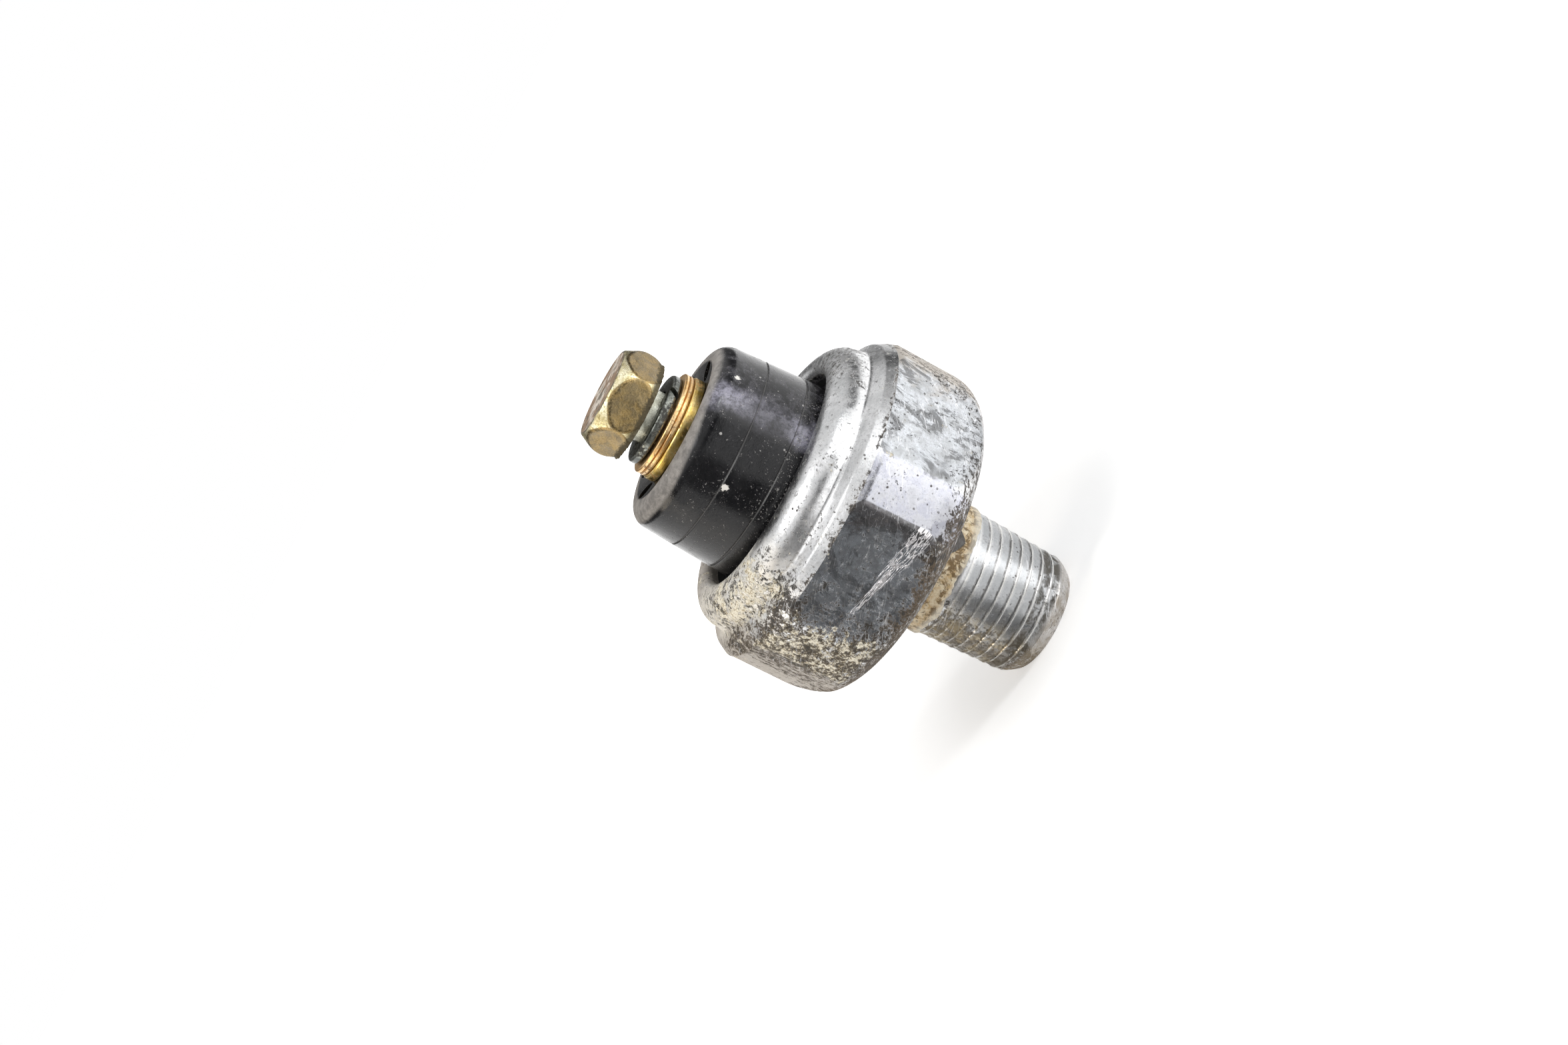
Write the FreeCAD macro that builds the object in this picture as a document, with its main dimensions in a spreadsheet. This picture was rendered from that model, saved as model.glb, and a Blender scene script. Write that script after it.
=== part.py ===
import FreeCAD, Part
import math
import os

import Sketcher

# Oil pressure sender, in millimetres. +Z runs along its axis, terminal up, thread down.
# The origin is on the axis at the underside of the hexagon.

doc = FreeCAD.newDocument("OilPressureSender")

# Driving sizes
SIZES = {
    # taper thread: one eighth of an inch, taper 1 in 16 on the diameter
    "gauge_radius": 4.864,
    "gauge_length": 4.0,
    "taper_rise": 0.03125,
    "nipple_length": 11.77,
    "nose_cone_length": 1.3,
    "nose_step": 0.68,
    "nose_round": 0.5,
    "neck_radius": 4.8,
    "neck_length": 3.4,
    "inlet_radius": 1.5,
    # hexagon with turned corners, its flats milled up to a ledge
    "hex_across_flats": 24.0,
    "corner_turned": 0.976,
    "hex_height": 7.98,
    "ledge_rise": 0.4,
    "underside_round": 3.2,
    "shoulder_step": 0.68,
    "shoulder_rise": 1.2,
    "shoulder_round": 0.5,
    # rolled rim
    "rim_step": 1.68,
    "valley_rise": 0.5,
    "valley_round": 0.4,
    "rim_height": 2.35,
    "rim_wall": 1.2,
    "rim_round": 1.9,
    "lip_reach": 2.74,
    "lip_thickness": 1.0,
    "lip_round": 0.6,
    # pressure chamber and seal
    "floor_thickness": 2.4,
    "chamber_depth": 0.6,
    "chamber_land": 1.35,
    "seal_land": 1.15,
    "seal_width": 1.5,
    "seal_depth": 0.9,
    "seal_chamfer": 0.28,
    "diaphragm_thickness": 0.3,
    "cavity_clearance": 0.1,
    # contacts
    "contact_ring_thickness": 1.0,
    "contact_land": 2.0,
    "pusher_clearance": 0.4,
    "stem_radius": 1.4,
    "plate_clearance": 1.0,
    "plate_thickness": 0.5,
    "plate_stand": 0.3,
    "plate_fit": 0.03,
    "rivet_count": 3,
    "rivet_inset": 1.0,
    "rivet_shank": 0.35,
    "rivet_point": 0.6,
    "rivet_head_height": 0.25,
    "contact_lift": 0.5,
    "stop_clearance": 0.1,
    # contact spring
    "spring_space": 3.1,
    "spring_radius": 2.35,
    "spring_wire": 0.25,
    "spring_wire_sides": 8,
    "spring_turns": 3.5,
    # insulator
    "skirt_wall": 2.3,
    "packing_thickness": 0.5,
    "trough_gap": 0.88,
    "stem_draft": 3.65,
    "stem_reach": 7.31,
    "face_round": 1.35,
    "face_land": 0.16,
    "dish_depth": 0.35,
    "trough_round": 0.4,
    "line_depth": 0.1,
    "line_width": 0.14,
    "upper_line_drop": 3.51,
    "lower_line_rise": 0.73,
    "pocket_count": 8,
    "pocket_turn": 30.5,
    "pocket_setout": 0.8,
    "pocket_radius": 0.75,
    "pocket_depth": 1.2,
    # terminal
    "insert_radius": 2.9,
    "insert_foot_flange": 0.7,
    "insert_foot_height": 0.8,
    "insert_fit": 0.02,
    "knurl_count": 12,
    "knurl_radius": 0.28,
    "collar_flange": 1.1,
    "collar_height": 0.76,
    "collar_chamfer": 0.12,
    "tapping_floor": 2.95,
    "tip_angle_drop": 1.0,
    # washers and screw
    "screw_radius": 1.97,
    "screw_fit": 0.05,
    "screw_tip_clearance": 1.9,
    "screw_tip_chamfer": 0.4,
    "screw_gap": 0.5,
    "washer_fit": 0.18,
    "washer_width": 1.75,
    "washer_thickness": 0.75,
    "washer_chamfer": 0.12,
    "spring_washer_fit": 0.13,
    "spring_washer_width": 1.35,
    "spring_washer_thickness": 1.05,
    "spring_washer_gap": 0.5,
    "spring_washer_lean": 0.35,
    "spring_washer_turn": -62.5,
    "head_across_flats": 7.0,
    "head_corner_turned": 0.04,
    "head_height": 3.15,
    "head_top_round": 1.2,
    "head_under_round": 0.7,
    "head_turn": 15.5,
    # dried sealant round the neck
    "sealant_thickness": 0.24,
    "sealant_start": 0.4,
    "sealant_fit": 0.02,
}

sheet = doc.addObject("Spreadsheet::Sheet", "Sizes")
for row, (alias, value) in enumerate(SIZES.items(), start=1):
    sheet.set(f"A{row}", alias)
    sheet.set(f"B{row}", str(value))
    sheet.setAlias(f"B{row}", alias)
doc.recompute()


def worth(text):
    """Value of an expression over the sheet's cells."""
    result = sheet.evalExpression(text)
    return float(getattr(result, "Value", result))


# Radii that several pieces share, from the hexagon inwards
HEX_RADIUS = "(Sizes.hex_across_flats / 2 / cos(30 deg) - Sizes.corner_turned)"
SHOULDER_RADIUS = f"({HEX_RADIUS} - Sizes.shoulder_step)"
RIM_RADIUS = f"({HEX_RADIUS} - Sizes.rim_step)"
LIP_RADIUS = f"({RIM_RADIUS} - Sizes.lip_reach)"
STEM_BASE_RADIUS = f"({LIP_RADIUS} - Sizes.trough_gap)"
CAVITY = f"({RIM_RADIUS} - Sizes.rim_wall)"
STACK_RADIUS = f"({CAVITY} - Sizes.cavity_clearance)"
SEAL_OUTER = f"({CAVITY} - Sizes.seal_land)"
SEAL_INNER = f"({SEAL_OUTER} - Sizes.seal_width)"
CHAMBER_RADIUS = f"({SEAL_INNER} - Sizes.chamber_land)"
SKIRT_BORE = f"({STACK_RADIUS} - Sizes.skirt_wall)"
PLATE_RADIUS = f"({SKIRT_BORE} - Sizes.plate_clearance)"
CONTACT_BORE = f"({PLATE_RADIUS} - Sizes.contact_land)"
COLLAR_RADIUS = "(Sizes.insert_radius + Sizes.collar_flange)"
INSERT_FOOT_RADIUS = "(Sizes.insert_radius + Sizes.insert_foot_flange)"
HEAD_RADIUS = "(Sizes.head_across_flats / 2 / cos(30 deg) - Sizes.head_corner_turned)"

# Heights that several pieces share, from the nose upwards
NOSE = "(0 - Sizes.nipple_length)"
NOSE_CONE = f"({NOSE} + Sizes.nose_cone_length)"
SHELF = "(Sizes.floor_thickness + Sizes.chamber_depth)"
RING_BASE = f"({SHELF} + Sizes.diaphragm_thickness)"
RING_TOP = f"({RING_BASE} + Sizes.contact_ring_thickness)"
PLATE_BASE = f"({RING_TOP} + Sizes.plate_stand)"
PLATE_TOP = f"({PLATE_BASE} + Sizes.plate_thickness)"
SPRING_SEAT = f"({PLATE_TOP} + Sizes.spring_space)"
FOOT_TOP = f"({SPRING_SEAT} + Sizes.insert_foot_height)"
TAPPING_FOOT = f"({FOOT_TOP} + Sizes.tapping_floor)"
FLAT_TOP = "(Sizes.hex_height + Sizes.ledge_rise)"
SHOULDER_TOP = "(Sizes.hex_height + Sizes.shoulder_rise)"
VALLEY = f"({SHOULDER_TOP} + Sizes.valley_rise)"
RIM_TOP = f"({VALLEY} + Sizes.rim_height)"
LIP_UNDERSIDE = f"({RIM_TOP} - Sizes.lip_thickness)"
INSULATOR_SHOULDER = f"({LIP_UNDERSIDE} - Sizes.packing_thickness)"
LOWER_LINE = f"({RIM_TOP} + Sizes.lower_line_rise)"
FACE = f"({RIM_TOP} + Sizes.stem_reach)"
UPPER_LINE = f"({FACE} - Sizes.upper_line_drop)"
COLLAR_BASE = f"({FACE} - Sizes.dish_depth)"
COLLAR_TOP = f"({COLLAR_BASE} + Sizes.collar_height)"
WASHER_TOP = f"({COLLAR_TOP} + Sizes.washer_thickness)"
SPRING_WASHER_TOP = f"({WASHER_TOP} + Sizes.spring_washer_thickness)"
HEAD_BASE = f"({SPRING_WASHER_TOP} + Sizes.screw_gap)"
HEAD_TOP = f"({HEAD_BASE} + Sizes.head_height)"


def taper_radius(height):
    """Radius of the taper thread at a height, from its gauge plane."""
    return f"(Sizes.gauge_radius + (({height}) - {NOSE} - Sizes.gauge_length) * Sizes.taper_rise)"


def stem_radius_at(height):
    """Radius of the insulator's drafted stem at a height."""
    return f"({STEM_BASE_RADIUS} - (({height}) - {RIM_TOP}) * tan(Sizes.stem_draft))"


# Modelling helpers
def new_body(label):
    body = doc.addObject("PartDesign::Body", label)
    body.Label = label
    body.Placement = FreeCAD.Placement()
    return body


def origin_plane(body, role):
    for feature in body.Origin.OriginFeatures:
        if feature.Role == role:
            return feature
    raise ValueError(role)


def new_sketch(body, name, role, height=None):
    sketch = body.newObject("Sketcher::SketchObject", name)
    sketch.AttachmentSupport = [(origin_plane(body, role), "")]
    sketch.MapMode = "FlatFace"
    if height is not None:
        sketch.setExpression("AttachmentOffset.Base.z", height)
    return sketch


def tie_point(sketch, edge, end, across, up):
    """Tie one end of a sketch edge to its two coordinates."""
    for kind, text in (("DistanceX", across), ("DistanceY", up)):
        number = sketch.addConstraint(Sketcher.Constraint(kind, -1, 1, edge, end, worth(text)))
        sketch.setExpression(f"Constraints[{number}]", text)


def draw_outline(sketch, corners):
    """Closed outline through corners, each a pair of expressions."""
    points = [FreeCAD.Vector(worth(across), worth(up), 0) for across, up in corners]
    edges = []
    for start, end in zip(points, points[1:] + points[:1]):
        edges.append(sketch.addGeometry(Part.LineSegment(start, end), False))
    for edge, following in zip(edges, edges[1:] + edges[:1]):
        sketch.addConstraint(Sketcher.Constraint("Coincident", edge, 2, following, 1))
    for edge, (across, up) in zip(edges, corners):
        tie_point(sketch, edge, 1, across, up)


def draw_circle(sketch, radius, across="0", up="0"):
    centre = FreeCAD.Vector(worth(across), worth(up), 0)
    edge = sketch.addGeometry(Part.Circle(centre, FreeCAD.Vector(0, 0, 1), worth(radius)), False)
    number = sketch.addConstraint(Sketcher.Constraint("Radius", edge, worth(radius)))
    sketch.setExpression(f"Constraints[{number}]", radius)
    tie_point(sketch, edge, 3, across, up)
    return edge


def draw_hexagon(sketch, across_flats, turn="0"):
    """Closed hexagon about the origin with one flat facing the turn angle."""
    corners = []
    for side in range(6):
        angle = f"({turn} + {60 * side + 30}) * 1 deg"
        reach = f"({across_flats}) / 2 / cos(30 deg)"
        corners.append((f"{reach} * cos({angle})", f"{reach} * sin({angle})"))
    draw_outline(sketch, corners)


def turn_profile(body, name, corners):
    """Solid of revolution about Z from a section of radius and height pairs."""
    sketch = new_sketch(body, f"{name}Section", "XZ_Plane")
    draw_outline(sketch, corners)
    solid = body.newObject("PartDesign::Revolution", name)
    solid.Profile = sketch
    solid.ReferenceAxis = (sketch, ["V_Axis"])
    solid.Angle = 360
    return solid


def cut_groove(body, name, corners):
    sketch = new_sketch(body, f"{name}Section", "XZ_Plane")
    draw_outline(sketch, corners)
    cut = body.newObject("PartDesign::Groove", name)
    cut.Profile = sketch
    cut.ReferenceAxis = (sketch, ["V_Axis"])
    cut.Angle = 360
    return cut


def circle_edges(feature, radius, height):
    """Names of the full circles of a radius at a height on a feature's shape."""
    tolerance = 1e-4
    names = []
    for number, edge in enumerate(feature.Shape.Edges, start=1):
        curve = edge.Curve
        if not isinstance(curve, Part.Circle):
            continue
        same_radius = abs(curve.Radius - worth(radius)) < tolerance
        same_height = abs(curve.Center.z - worth(height)) < tolerance
        if same_radius and same_height:
            names.append(f"Edge{number}")
    return names


def dress_circles(body, kind, name, places, size):
    """Fillet or chamfer the circular edges at the given pairs of radius and height."""
    doc.recompute()
    base = body.Tip
    edges = []
    for radius, height in places:
        edges += circle_edges(base, radius, height)
    if not edges:
        raise ValueError(f"{name} finds no edge")
    dressing = body.newObject(f"PartDesign::{kind}", name)
    dressing.Base = (base, edges)
    dressing.setExpression("Radius" if kind == "Fillet" else "Size", size)
    return dressing


def round_circles(body, name, places, size):
    return dress_circles(body, "Fillet", name, places, size)


def chamfer_circles(body, name, places, size):
    return dress_circles(body, "Chamfer", name, places, size)


def pocket(body, name, sketch, length=None):
    """Cut downwards by a length, or right through both ways."""
    doc.recompute()
    volume = body.Tip.Shape.Volume
    cut = body.newObject("PartDesign::Pocket", name)
    cut.Profile = sketch
    if length is None:
        cut.Type = "ThroughAll"
        cut.Midplane = True
    else:
        cut.Type = "Length"
        cut.setExpression("Length", length)
    doc.recompute()
    if not cut.Shape.Volume < volume:
        raise ValueError(f"{name} cuts nothing")
    return cut


def polar(body, name, feature, count):
    pattern = body.newObject("PartDesign::PolarPattern", name)
    pattern.Originals = [feature]
    pattern.Axis = (feature.Profile[0], ["N_Axis"])
    pattern.Angle = 360
    pattern.setExpression("Occurrences", count)
    body.Tip = pattern
    return pattern


# Body: nipple, hexagon and rolled rim turned from one bar, then the flats milled up to a ledge
def make_body():
    body = new_body("body")
    neck_foot = "(0 - Sizes.neck_length)"
    nose_face = f"({taper_radius(NOSE_CONE)} - Sizes.nose_step)"
    seal_floor = f"({SHELF} - Sizes.seal_depth)"
    turn_profile(body, "Turning", [
        ("Sizes.inlet_radius", NOSE),
        (nose_face, NOSE),
        (taper_radius(NOSE_CONE), NOSE_CONE),
        (taper_radius(neck_foot), neck_foot),
        ("Sizes.neck_radius", neck_foot),
        ("Sizes.neck_radius", "0"),
        (HEX_RADIUS, "0"),
        (HEX_RADIUS, "Sizes.hex_height"),
        (SHOULDER_RADIUS, SHOULDER_TOP),
        (RIM_RADIUS, VALLEY),
        (RIM_RADIUS, RIM_TOP),
        (LIP_RADIUS, RIM_TOP),
        (LIP_RADIUS, LIP_UNDERSIDE),
        (CAVITY, LIP_UNDERSIDE),
        (CAVITY, SHELF),
        (SEAL_OUTER, SHELF),
        (SEAL_OUTER, seal_floor),
        (SEAL_INNER, seal_floor),
        (SEAL_INNER, SHELF),
        (CHAMBER_RADIUS, SHELF),
        (CHAMBER_RADIUS, "Sizes.floor_thickness"),
        ("Sizes.inlet_radius", "Sizes.floor_thickness"),
    ])
    round_circles(body, "UndersideRound", [(HEX_RADIUS, "0")], "Sizes.underside_round")
    round_circles(body, "ShoulderRound", [(SHOULDER_RADIUS, SHOULDER_TOP)], "Sizes.shoulder_round")
    round_circles(body, "ValleyRound", [(RIM_RADIUS, VALLEY)], "Sizes.valley_round")
    round_circles(body, "RimRound", [(RIM_RADIUS, RIM_TOP)], "Sizes.rim_round")
    round_circles(body, "LipRound", [(LIP_RADIUS, RIM_TOP)], "Sizes.lip_round")
    nose_edges = [(nose_face, NOSE), (taper_radius(NOSE_CONE), NOSE_CONE)]
    round_circles(body, "NoseRound", nose_edges, "Sizes.nose_round")
    flats = new_sketch(body, "FlatsOutline", "XY_Plane", FLAT_TOP)
    draw_circle(flats, "Sizes.hex_across_flats")
    draw_hexagon(flats, "Sizes.hex_across_flats")
    pocket(body, "Flats", flats, FLAT_TOP)
    return body


# Ring of dried sealant on the neck, between the hexagon and the thread
def make_thread_sealant():
    body = new_body("thread_sealant")
    inner = "(Sizes.neck_radius + Sizes.sealant_fit)"
    outer = "(Sizes.neck_radius + Sizes.sealant_thickness)"
    foot = "(0 - Sizes.neck_length + Sizes.sealant_fit)"
    turn_profile(body, "Band", [
        (inner, foot),
        (outer, foot),
        (outer, "(0 - Sizes.sealant_start)"),
        (inner, "(0 - Sizes.sealant_start)"),
    ])
    return body


# O-ring squeezed into the groove under the diaphragm
def make_seal_ring():
    body = new_body("seal_ring")
    foot = f"({SHELF} - Sizes.seal_depth)"
    corners = [(SEAL_INNER, foot), (SEAL_OUTER, foot), (SEAL_OUTER, SHELF), (SEAL_INNER, SHELF)]
    turn_profile(body, "Ring", corners)
    chamfer_circles(body, "RingChamfer", corners, "Sizes.seal_chamfer")
    return body


def make_diaphragm():
    body = new_body("diaphragm")
    turn_profile(body, "Sheet", [
        ("0", SHELF),
        (STACK_RADIUS, SHELF),
        (STACK_RADIUS, RING_BASE),
        ("0", RING_BASE),
    ])
    return body


# Earthed ring: clamps the diaphragm and is the fixed contact
def make_contact_ring():
    body = new_body("contact_ring")
    turn_profile(body, "Ring", [
        (CONTACT_BORE, RING_BASE),
        (STACK_RADIUS, RING_BASE),
        (STACK_RADIUS, RING_TOP),
        (CONTACT_BORE, RING_TOP),
    ])
    return body


# Insulating button on the diaphragm, with a stem that centres the plate and spring
def make_pusher():
    body = new_body("pusher")
    foot_radius = f"({CONTACT_BORE} - Sizes.pusher_clearance)"
    stem_top = f"({SPRING_SEAT} - Sizes.contact_lift - Sizes.stop_clearance)"
    turn_profile(body, "Button", [
        ("0", RING_BASE),
        (foot_radius, RING_BASE),
        (foot_radius, PLATE_BASE),
        ("Sizes.stem_radius", PLATE_BASE),
        ("Sizes.stem_radius", stem_top),
        ("0", stem_top),
    ])
    return body


def make_contact_plate():
    body = new_body("contact_plate")
    turn_profile(body, "Plate", [
        ("Sizes.stem_radius + Sizes.plate_fit", PLATE_BASE),
        (PLATE_RADIUS, PLATE_BASE),
        (PLATE_RADIUS, PLATE_TOP),
        ("Sizes.stem_radius + Sizes.plate_fit", PLATE_TOP),
    ])
    hole_sketch = new_sketch(body, "RivetHoleOutline", "XY_Plane", PLATE_TOP)
    draw_circle(hole_sketch, "Sizes.rivet_shank + Sizes.plate_fit", f"{PLATE_RADIUS} - Sizes.rivet_inset")
    hole = pocket(body, "RivetHole", hole_sketch, "Sizes.plate_thickness")
    polar(body, "RivetHoles", hole, "Sizes.rivet_count")
    return body


# Contact points riveted through the plate, one group of separate solids
def make_contact_rivets():
    axis = FreeCAD.Vector(0, 0, 1)
    foot = FreeCAD.Vector(worth(f"{PLATE_RADIUS} - Sizes.rivet_inset"), 0, worth(RING_TOP))
    point = Part.makeCylinder(worth("Sizes.rivet_point"), worth("Sizes.plate_stand"), foot, axis)
    foot.z = worth(RING_TOP)
    shank_length = worth("Sizes.plate_stand + Sizes.plate_thickness")
    shank = Part.makeCylinder(worth("Sizes.rivet_shank"), shank_length, foot, axis)
    foot.z = worth(PLATE_TOP)
    head = Part.makeCylinder(worth("Sizes.rivet_point"), worth("Sizes.rivet_head_height"), foot, axis)
    rivet = point.fuse([shank, head]).removeSplitter()
    count = int(worth("Sizes.rivet_count"))
    rivets = []
    for number in range(count):
        copy = rivet.copy()
        copy.rotate(FreeCAD.Vector(0, 0, 0), axis, 360 * number / count)
        rivets.append(copy)
    group = doc.addObject("Part::Feature", "contact_rivets")
    group.Label = "contact_rivets"
    group.Shape = Part.makeCompound(rivets)
    group.Placement = FreeCAD.Placement()
    return group


# Contact spring: a wire with flats swept along a helix between the plate and the terminal's foot
def make_contact_spring():
    wire_radius = worth("Sizes.spring_wire")
    radius = worth("Sizes.spring_radius")
    rise = worth("Sizes.spring_space - 2 * Sizes.spring_wire")
    turns = worth("Sizes.spring_turns")
    path = Part.makeHelix(rise / turns, rise, radius)
    sides = int(worth("Sizes.spring_wire_sides"))
    angles = [2 * math.pi * side / sides for side in range(sides)]
    corners = [
        FreeCAD.Vector(radius + wire_radius * math.cos(angle), 0, wire_radius * math.sin(angle))
        for angle in angles
    ]
    section = Part.makePolygon(corners + corners[:1])
    coil = Part.Wire(path.Edges).makePipeShell([section], True, True)
    spring = doc.addObject("Part::Feature", "contact_spring")
    spring.Label = "contact_spring"
    spring.Shape = coil
    spring.Placement = FreeCAD.Placement()
    spring.setExpression("Placement.Base.z", f"{PLATE_TOP} + Sizes.spring_wire")
    return spring


# Insulator: skirt that clamps the stack, shoulder under the rim, drafted stem
def make_insulator():
    body = new_body("insulator")
    bore = "(Sizes.insert_radius + Sizes.insert_fit)"
    foot_bore = f"({INSERT_FOOT_RADIUS} + Sizes.insert_fit)"
    face_radius = stem_radius_at(FACE)
    turn_profile(body, "Moulding", [
        (SKIRT_BORE, RING_TOP),
        (STACK_RADIUS, RING_TOP),
        (STACK_RADIUS, INSULATOR_SHOULDER),
        (stem_radius_at(INSULATOR_SHOULDER), INSULATOR_SHOULDER),
        (face_radius, FACE),
        (f"{face_radius} - Sizes.face_round - Sizes.face_land", FACE),
        (COLLAR_RADIUS, COLLAR_BASE),
        (bore, COLLAR_BASE),
        (bore, FOOT_TOP),
        (foot_bore, FOOT_TOP),
        (foot_bore, SPRING_SEAT),
        (SKIRT_BORE, SPRING_SEAT),
    ])
    round_circles(body, "FaceRound", [(face_radius, FACE)], "Sizes.face_round")
    trough = [(stem_radius_at(INSULATOR_SHOULDER), INSULATOR_SHOULDER)]
    round_circles(body, "TroughRound", trough, "Sizes.trough_round")
    for name, height in (("UpperLine", UPPER_LINE), ("LowerLine", LOWER_LINE)):
        cut_groove(body, name, [
            (f"{stem_radius_at(height)} + Sizes.line_depth", f"{height} - Sizes.line_width"),
            (f"{stem_radius_at(height)} + Sizes.line_depth", f"{height} + Sizes.line_width"),
            (f"{stem_radius_at(height)} - Sizes.line_depth", height),
        ])
    circle = f"({COLLAR_RADIUS} + Sizes.pocket_setout)"
    turn = "(Sizes.pocket_turn * 1 deg)"
    pocket_sketch = new_sketch(body, "PocketOutline", "XY_Plane", FACE)
    draw_circle(pocket_sketch, "Sizes.pocket_radius", f"{circle} * cos{turn}", f"{circle} * sin{turn}")
    hole = pocket(body, "FacePocket", pocket_sketch, "Sizes.pocket_depth")
    polar(body, "FacePockets", hole, "Sizes.pocket_count")
    return body


def make_rim_packing():
    body = new_body("rim_packing")
    turn_profile(body, "Ring", [
        (LIP_RADIUS, INSULATOR_SHOULDER),
        (STACK_RADIUS, INSULATOR_SHOULDER),
        (STACK_RADIUS, LIP_UNDERSIDE),
        (LIP_RADIUS, LIP_UNDERSIDE),
    ])
    return body


# Brass terminal: foot for the spring, fluted barrel held by the moulding, collar, tapped hole
def make_terminal_insert():
    body = new_body("terminal_insert")
    tapping = "(Sizes.screw_radius + Sizes.screw_fit)"
    turn_profile(body, "Turning", [
        ("0", SPRING_SEAT),
        (INSERT_FOOT_RADIUS, SPRING_SEAT),
        (INSERT_FOOT_RADIUS, FOOT_TOP),
        ("Sizes.insert_radius", FOOT_TOP),
        ("Sizes.insert_radius", COLLAR_BASE),
        (COLLAR_RADIUS, COLLAR_BASE),
        (COLLAR_RADIUS, COLLAR_TOP),
        (tapping, COLLAR_TOP),
        (tapping, TAPPING_FOOT),
        ("0", f"{TAPPING_FOOT} - Sizes.tip_angle_drop"),
    ])
    chamfer_circles(body, "CollarChamfer", [(COLLAR_RADIUS, COLLAR_TOP)], "Sizes.collar_chamfer")
    flute_sketch = new_sketch(body, "FluteOutline", "XY_Plane", COLLAR_BASE)
    draw_circle(flute_sketch, "Sizes.knurl_radius", "Sizes.insert_radius + Sizes.knurl_radius / 2")
    flute = pocket(body, "Flute", flute_sketch, f"{COLLAR_BASE} - {FOOT_TOP}")
    polar(body, "Flutes", flute, "Sizes.knurl_count")
    return body


def make_flat_washer():
    body = new_body("flat_washer")
    bore = "(Sizes.screw_radius + Sizes.washer_fit)"
    outer = f"({bore} + Sizes.washer_width)"
    turn_profile(body, "Ring", [
        (bore, COLLAR_TOP),
        (outer, COLLAR_TOP),
        (outer, WASHER_TOP),
        (bore, WASHER_TOP),
    ])
    edges = [(outer, COLLAR_TOP), (outer, WASHER_TOP)]
    chamfer_circles(body, "EdgeChamfer", edges, "Sizes.washer_chamfer")
    return body


# Split spring washer: a ring with a slanting slot through one side
def make_spring_washer():
    body = new_body("spring_washer")
    bore = "(Sizes.screw_radius + Sizes.spring_washer_fit)"
    outer = f"({bore} + Sizes.spring_washer_width)"
    turn_profile(body, "Ring", [
        (bore, WASHER_TOP),
        (outer, WASHER_TOP),
        (outer, SPRING_WASHER_TOP),
        (bore, SPRING_WASHER_TOP),
    ])
    edges = [(outer, WASHER_TOP), (outer, SPRING_WASHER_TOP)]
    chamfer_circles(body, "EdgeChamfer", edges, "Sizes.washer_chamfer")
    slot = new_sketch(body, "SlotOutline", "YZ_Plane")
    half = "Sizes.spring_washer_gap / 2"
    lean = "Sizes.spring_washer_lean"
    draw_outline(slot, [
        (f"0 - {half} - {lean}", f"{WASHER_TOP} - Sizes.washer_thickness / 2"),
        (f"{half} - {lean}", f"{WASHER_TOP} - Sizes.washer_thickness / 2"),
        (f"{half} + {lean}", f"{SPRING_WASHER_TOP} + Sizes.washer_thickness / 2"),
        (f"0 - {half} + {lean}", f"{SPRING_WASHER_TOP} + Sizes.washer_thickness / 2"),
    ])
    doc.recompute()
    volume = body.Tip.Shape.Volume
    cut = body.newObject("PartDesign::Pocket", "Slot")
    cut.Profile = slot
    cut.Type = "Length"
    cut.setExpression("Length", f"{outer} * 2")
    doc.recompute()
    if not cut.Shape.Volume < volume:
        cut.Reversed = True
    body.setExpression("Placement.Rotation.Angle", "Sizes.spring_washer_turn")
    return body


# Hexagon-head machine screw, backed out by its gap
def make_terminal_screw():
    body = new_body("terminal_screw")
    tip = f"({TAPPING_FOOT} + Sizes.screw_tip_clearance)"
    turn_profile(body, "Turning", [
        ("0", tip),
        ("Sizes.screw_radius - Sizes.screw_tip_chamfer", tip),
        ("Sizes.screw_radius", f"{tip} + Sizes.screw_tip_chamfer"),
        ("Sizes.screw_radius", HEAD_BASE),
        (HEAD_RADIUS, HEAD_BASE),
        (HEAD_RADIUS, HEAD_TOP),
        ("0", HEAD_TOP),
    ])
    round_circles(body, "HeadTopRound", [(HEAD_RADIUS, HEAD_TOP)], "Sizes.head_top_round")
    round_circles(body, "HeadUnderRound", [(HEAD_RADIUS, HEAD_BASE)], "Sizes.head_under_round")
    flats = new_sketch(body, "HeadFlatsOutline", "XY_Plane")
    draw_circle(flats, "Sizes.head_across_flats")
    draw_hexagon(flats, "Sizes.head_across_flats", "Sizes.head_turn")
    pocket(body, "HeadFlats", flats)
    return body


MAKERS = (
    make_body,
    make_thread_sealant,
    make_seal_ring,
    make_diaphragm,
    make_contact_ring,
    make_pusher,
    make_contact_plate,
    make_contact_rivets,
    make_contact_spring,
    make_insulator,
    make_rim_packing,
    make_terminal_insert,
    make_flat_washer,
    make_spring_washer,
    make_terminal_screw,
)
pieces = [make() for make in MAKERS]
doc.recompute()

# Nothing is written unless every feature and every solid is sound
for item in doc.Objects:
    if "Invalid" in item.State or "Error" in item.State:
        raise RuntimeError(f"{item.Name} failed: {item.State}")
for piece in pieces:
    if piece.Shape.isNull() or not piece.Shape.isValid():
        raise RuntimeError(f"{piece.Label} has no sound shape")

os.makedirs("parts", exist_ok=True)
for piece in pieces:
    piece.Shape.exportStep(f"parts/{piece.Label}.step")
    print(piece.Label, len(piece.Shape.Solids), round(piece.Shape.Volume, 3))
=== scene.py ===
import math

import bmesh
import bpy
from mathutils import Matrix, Quaternion, Vector, noise


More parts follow.
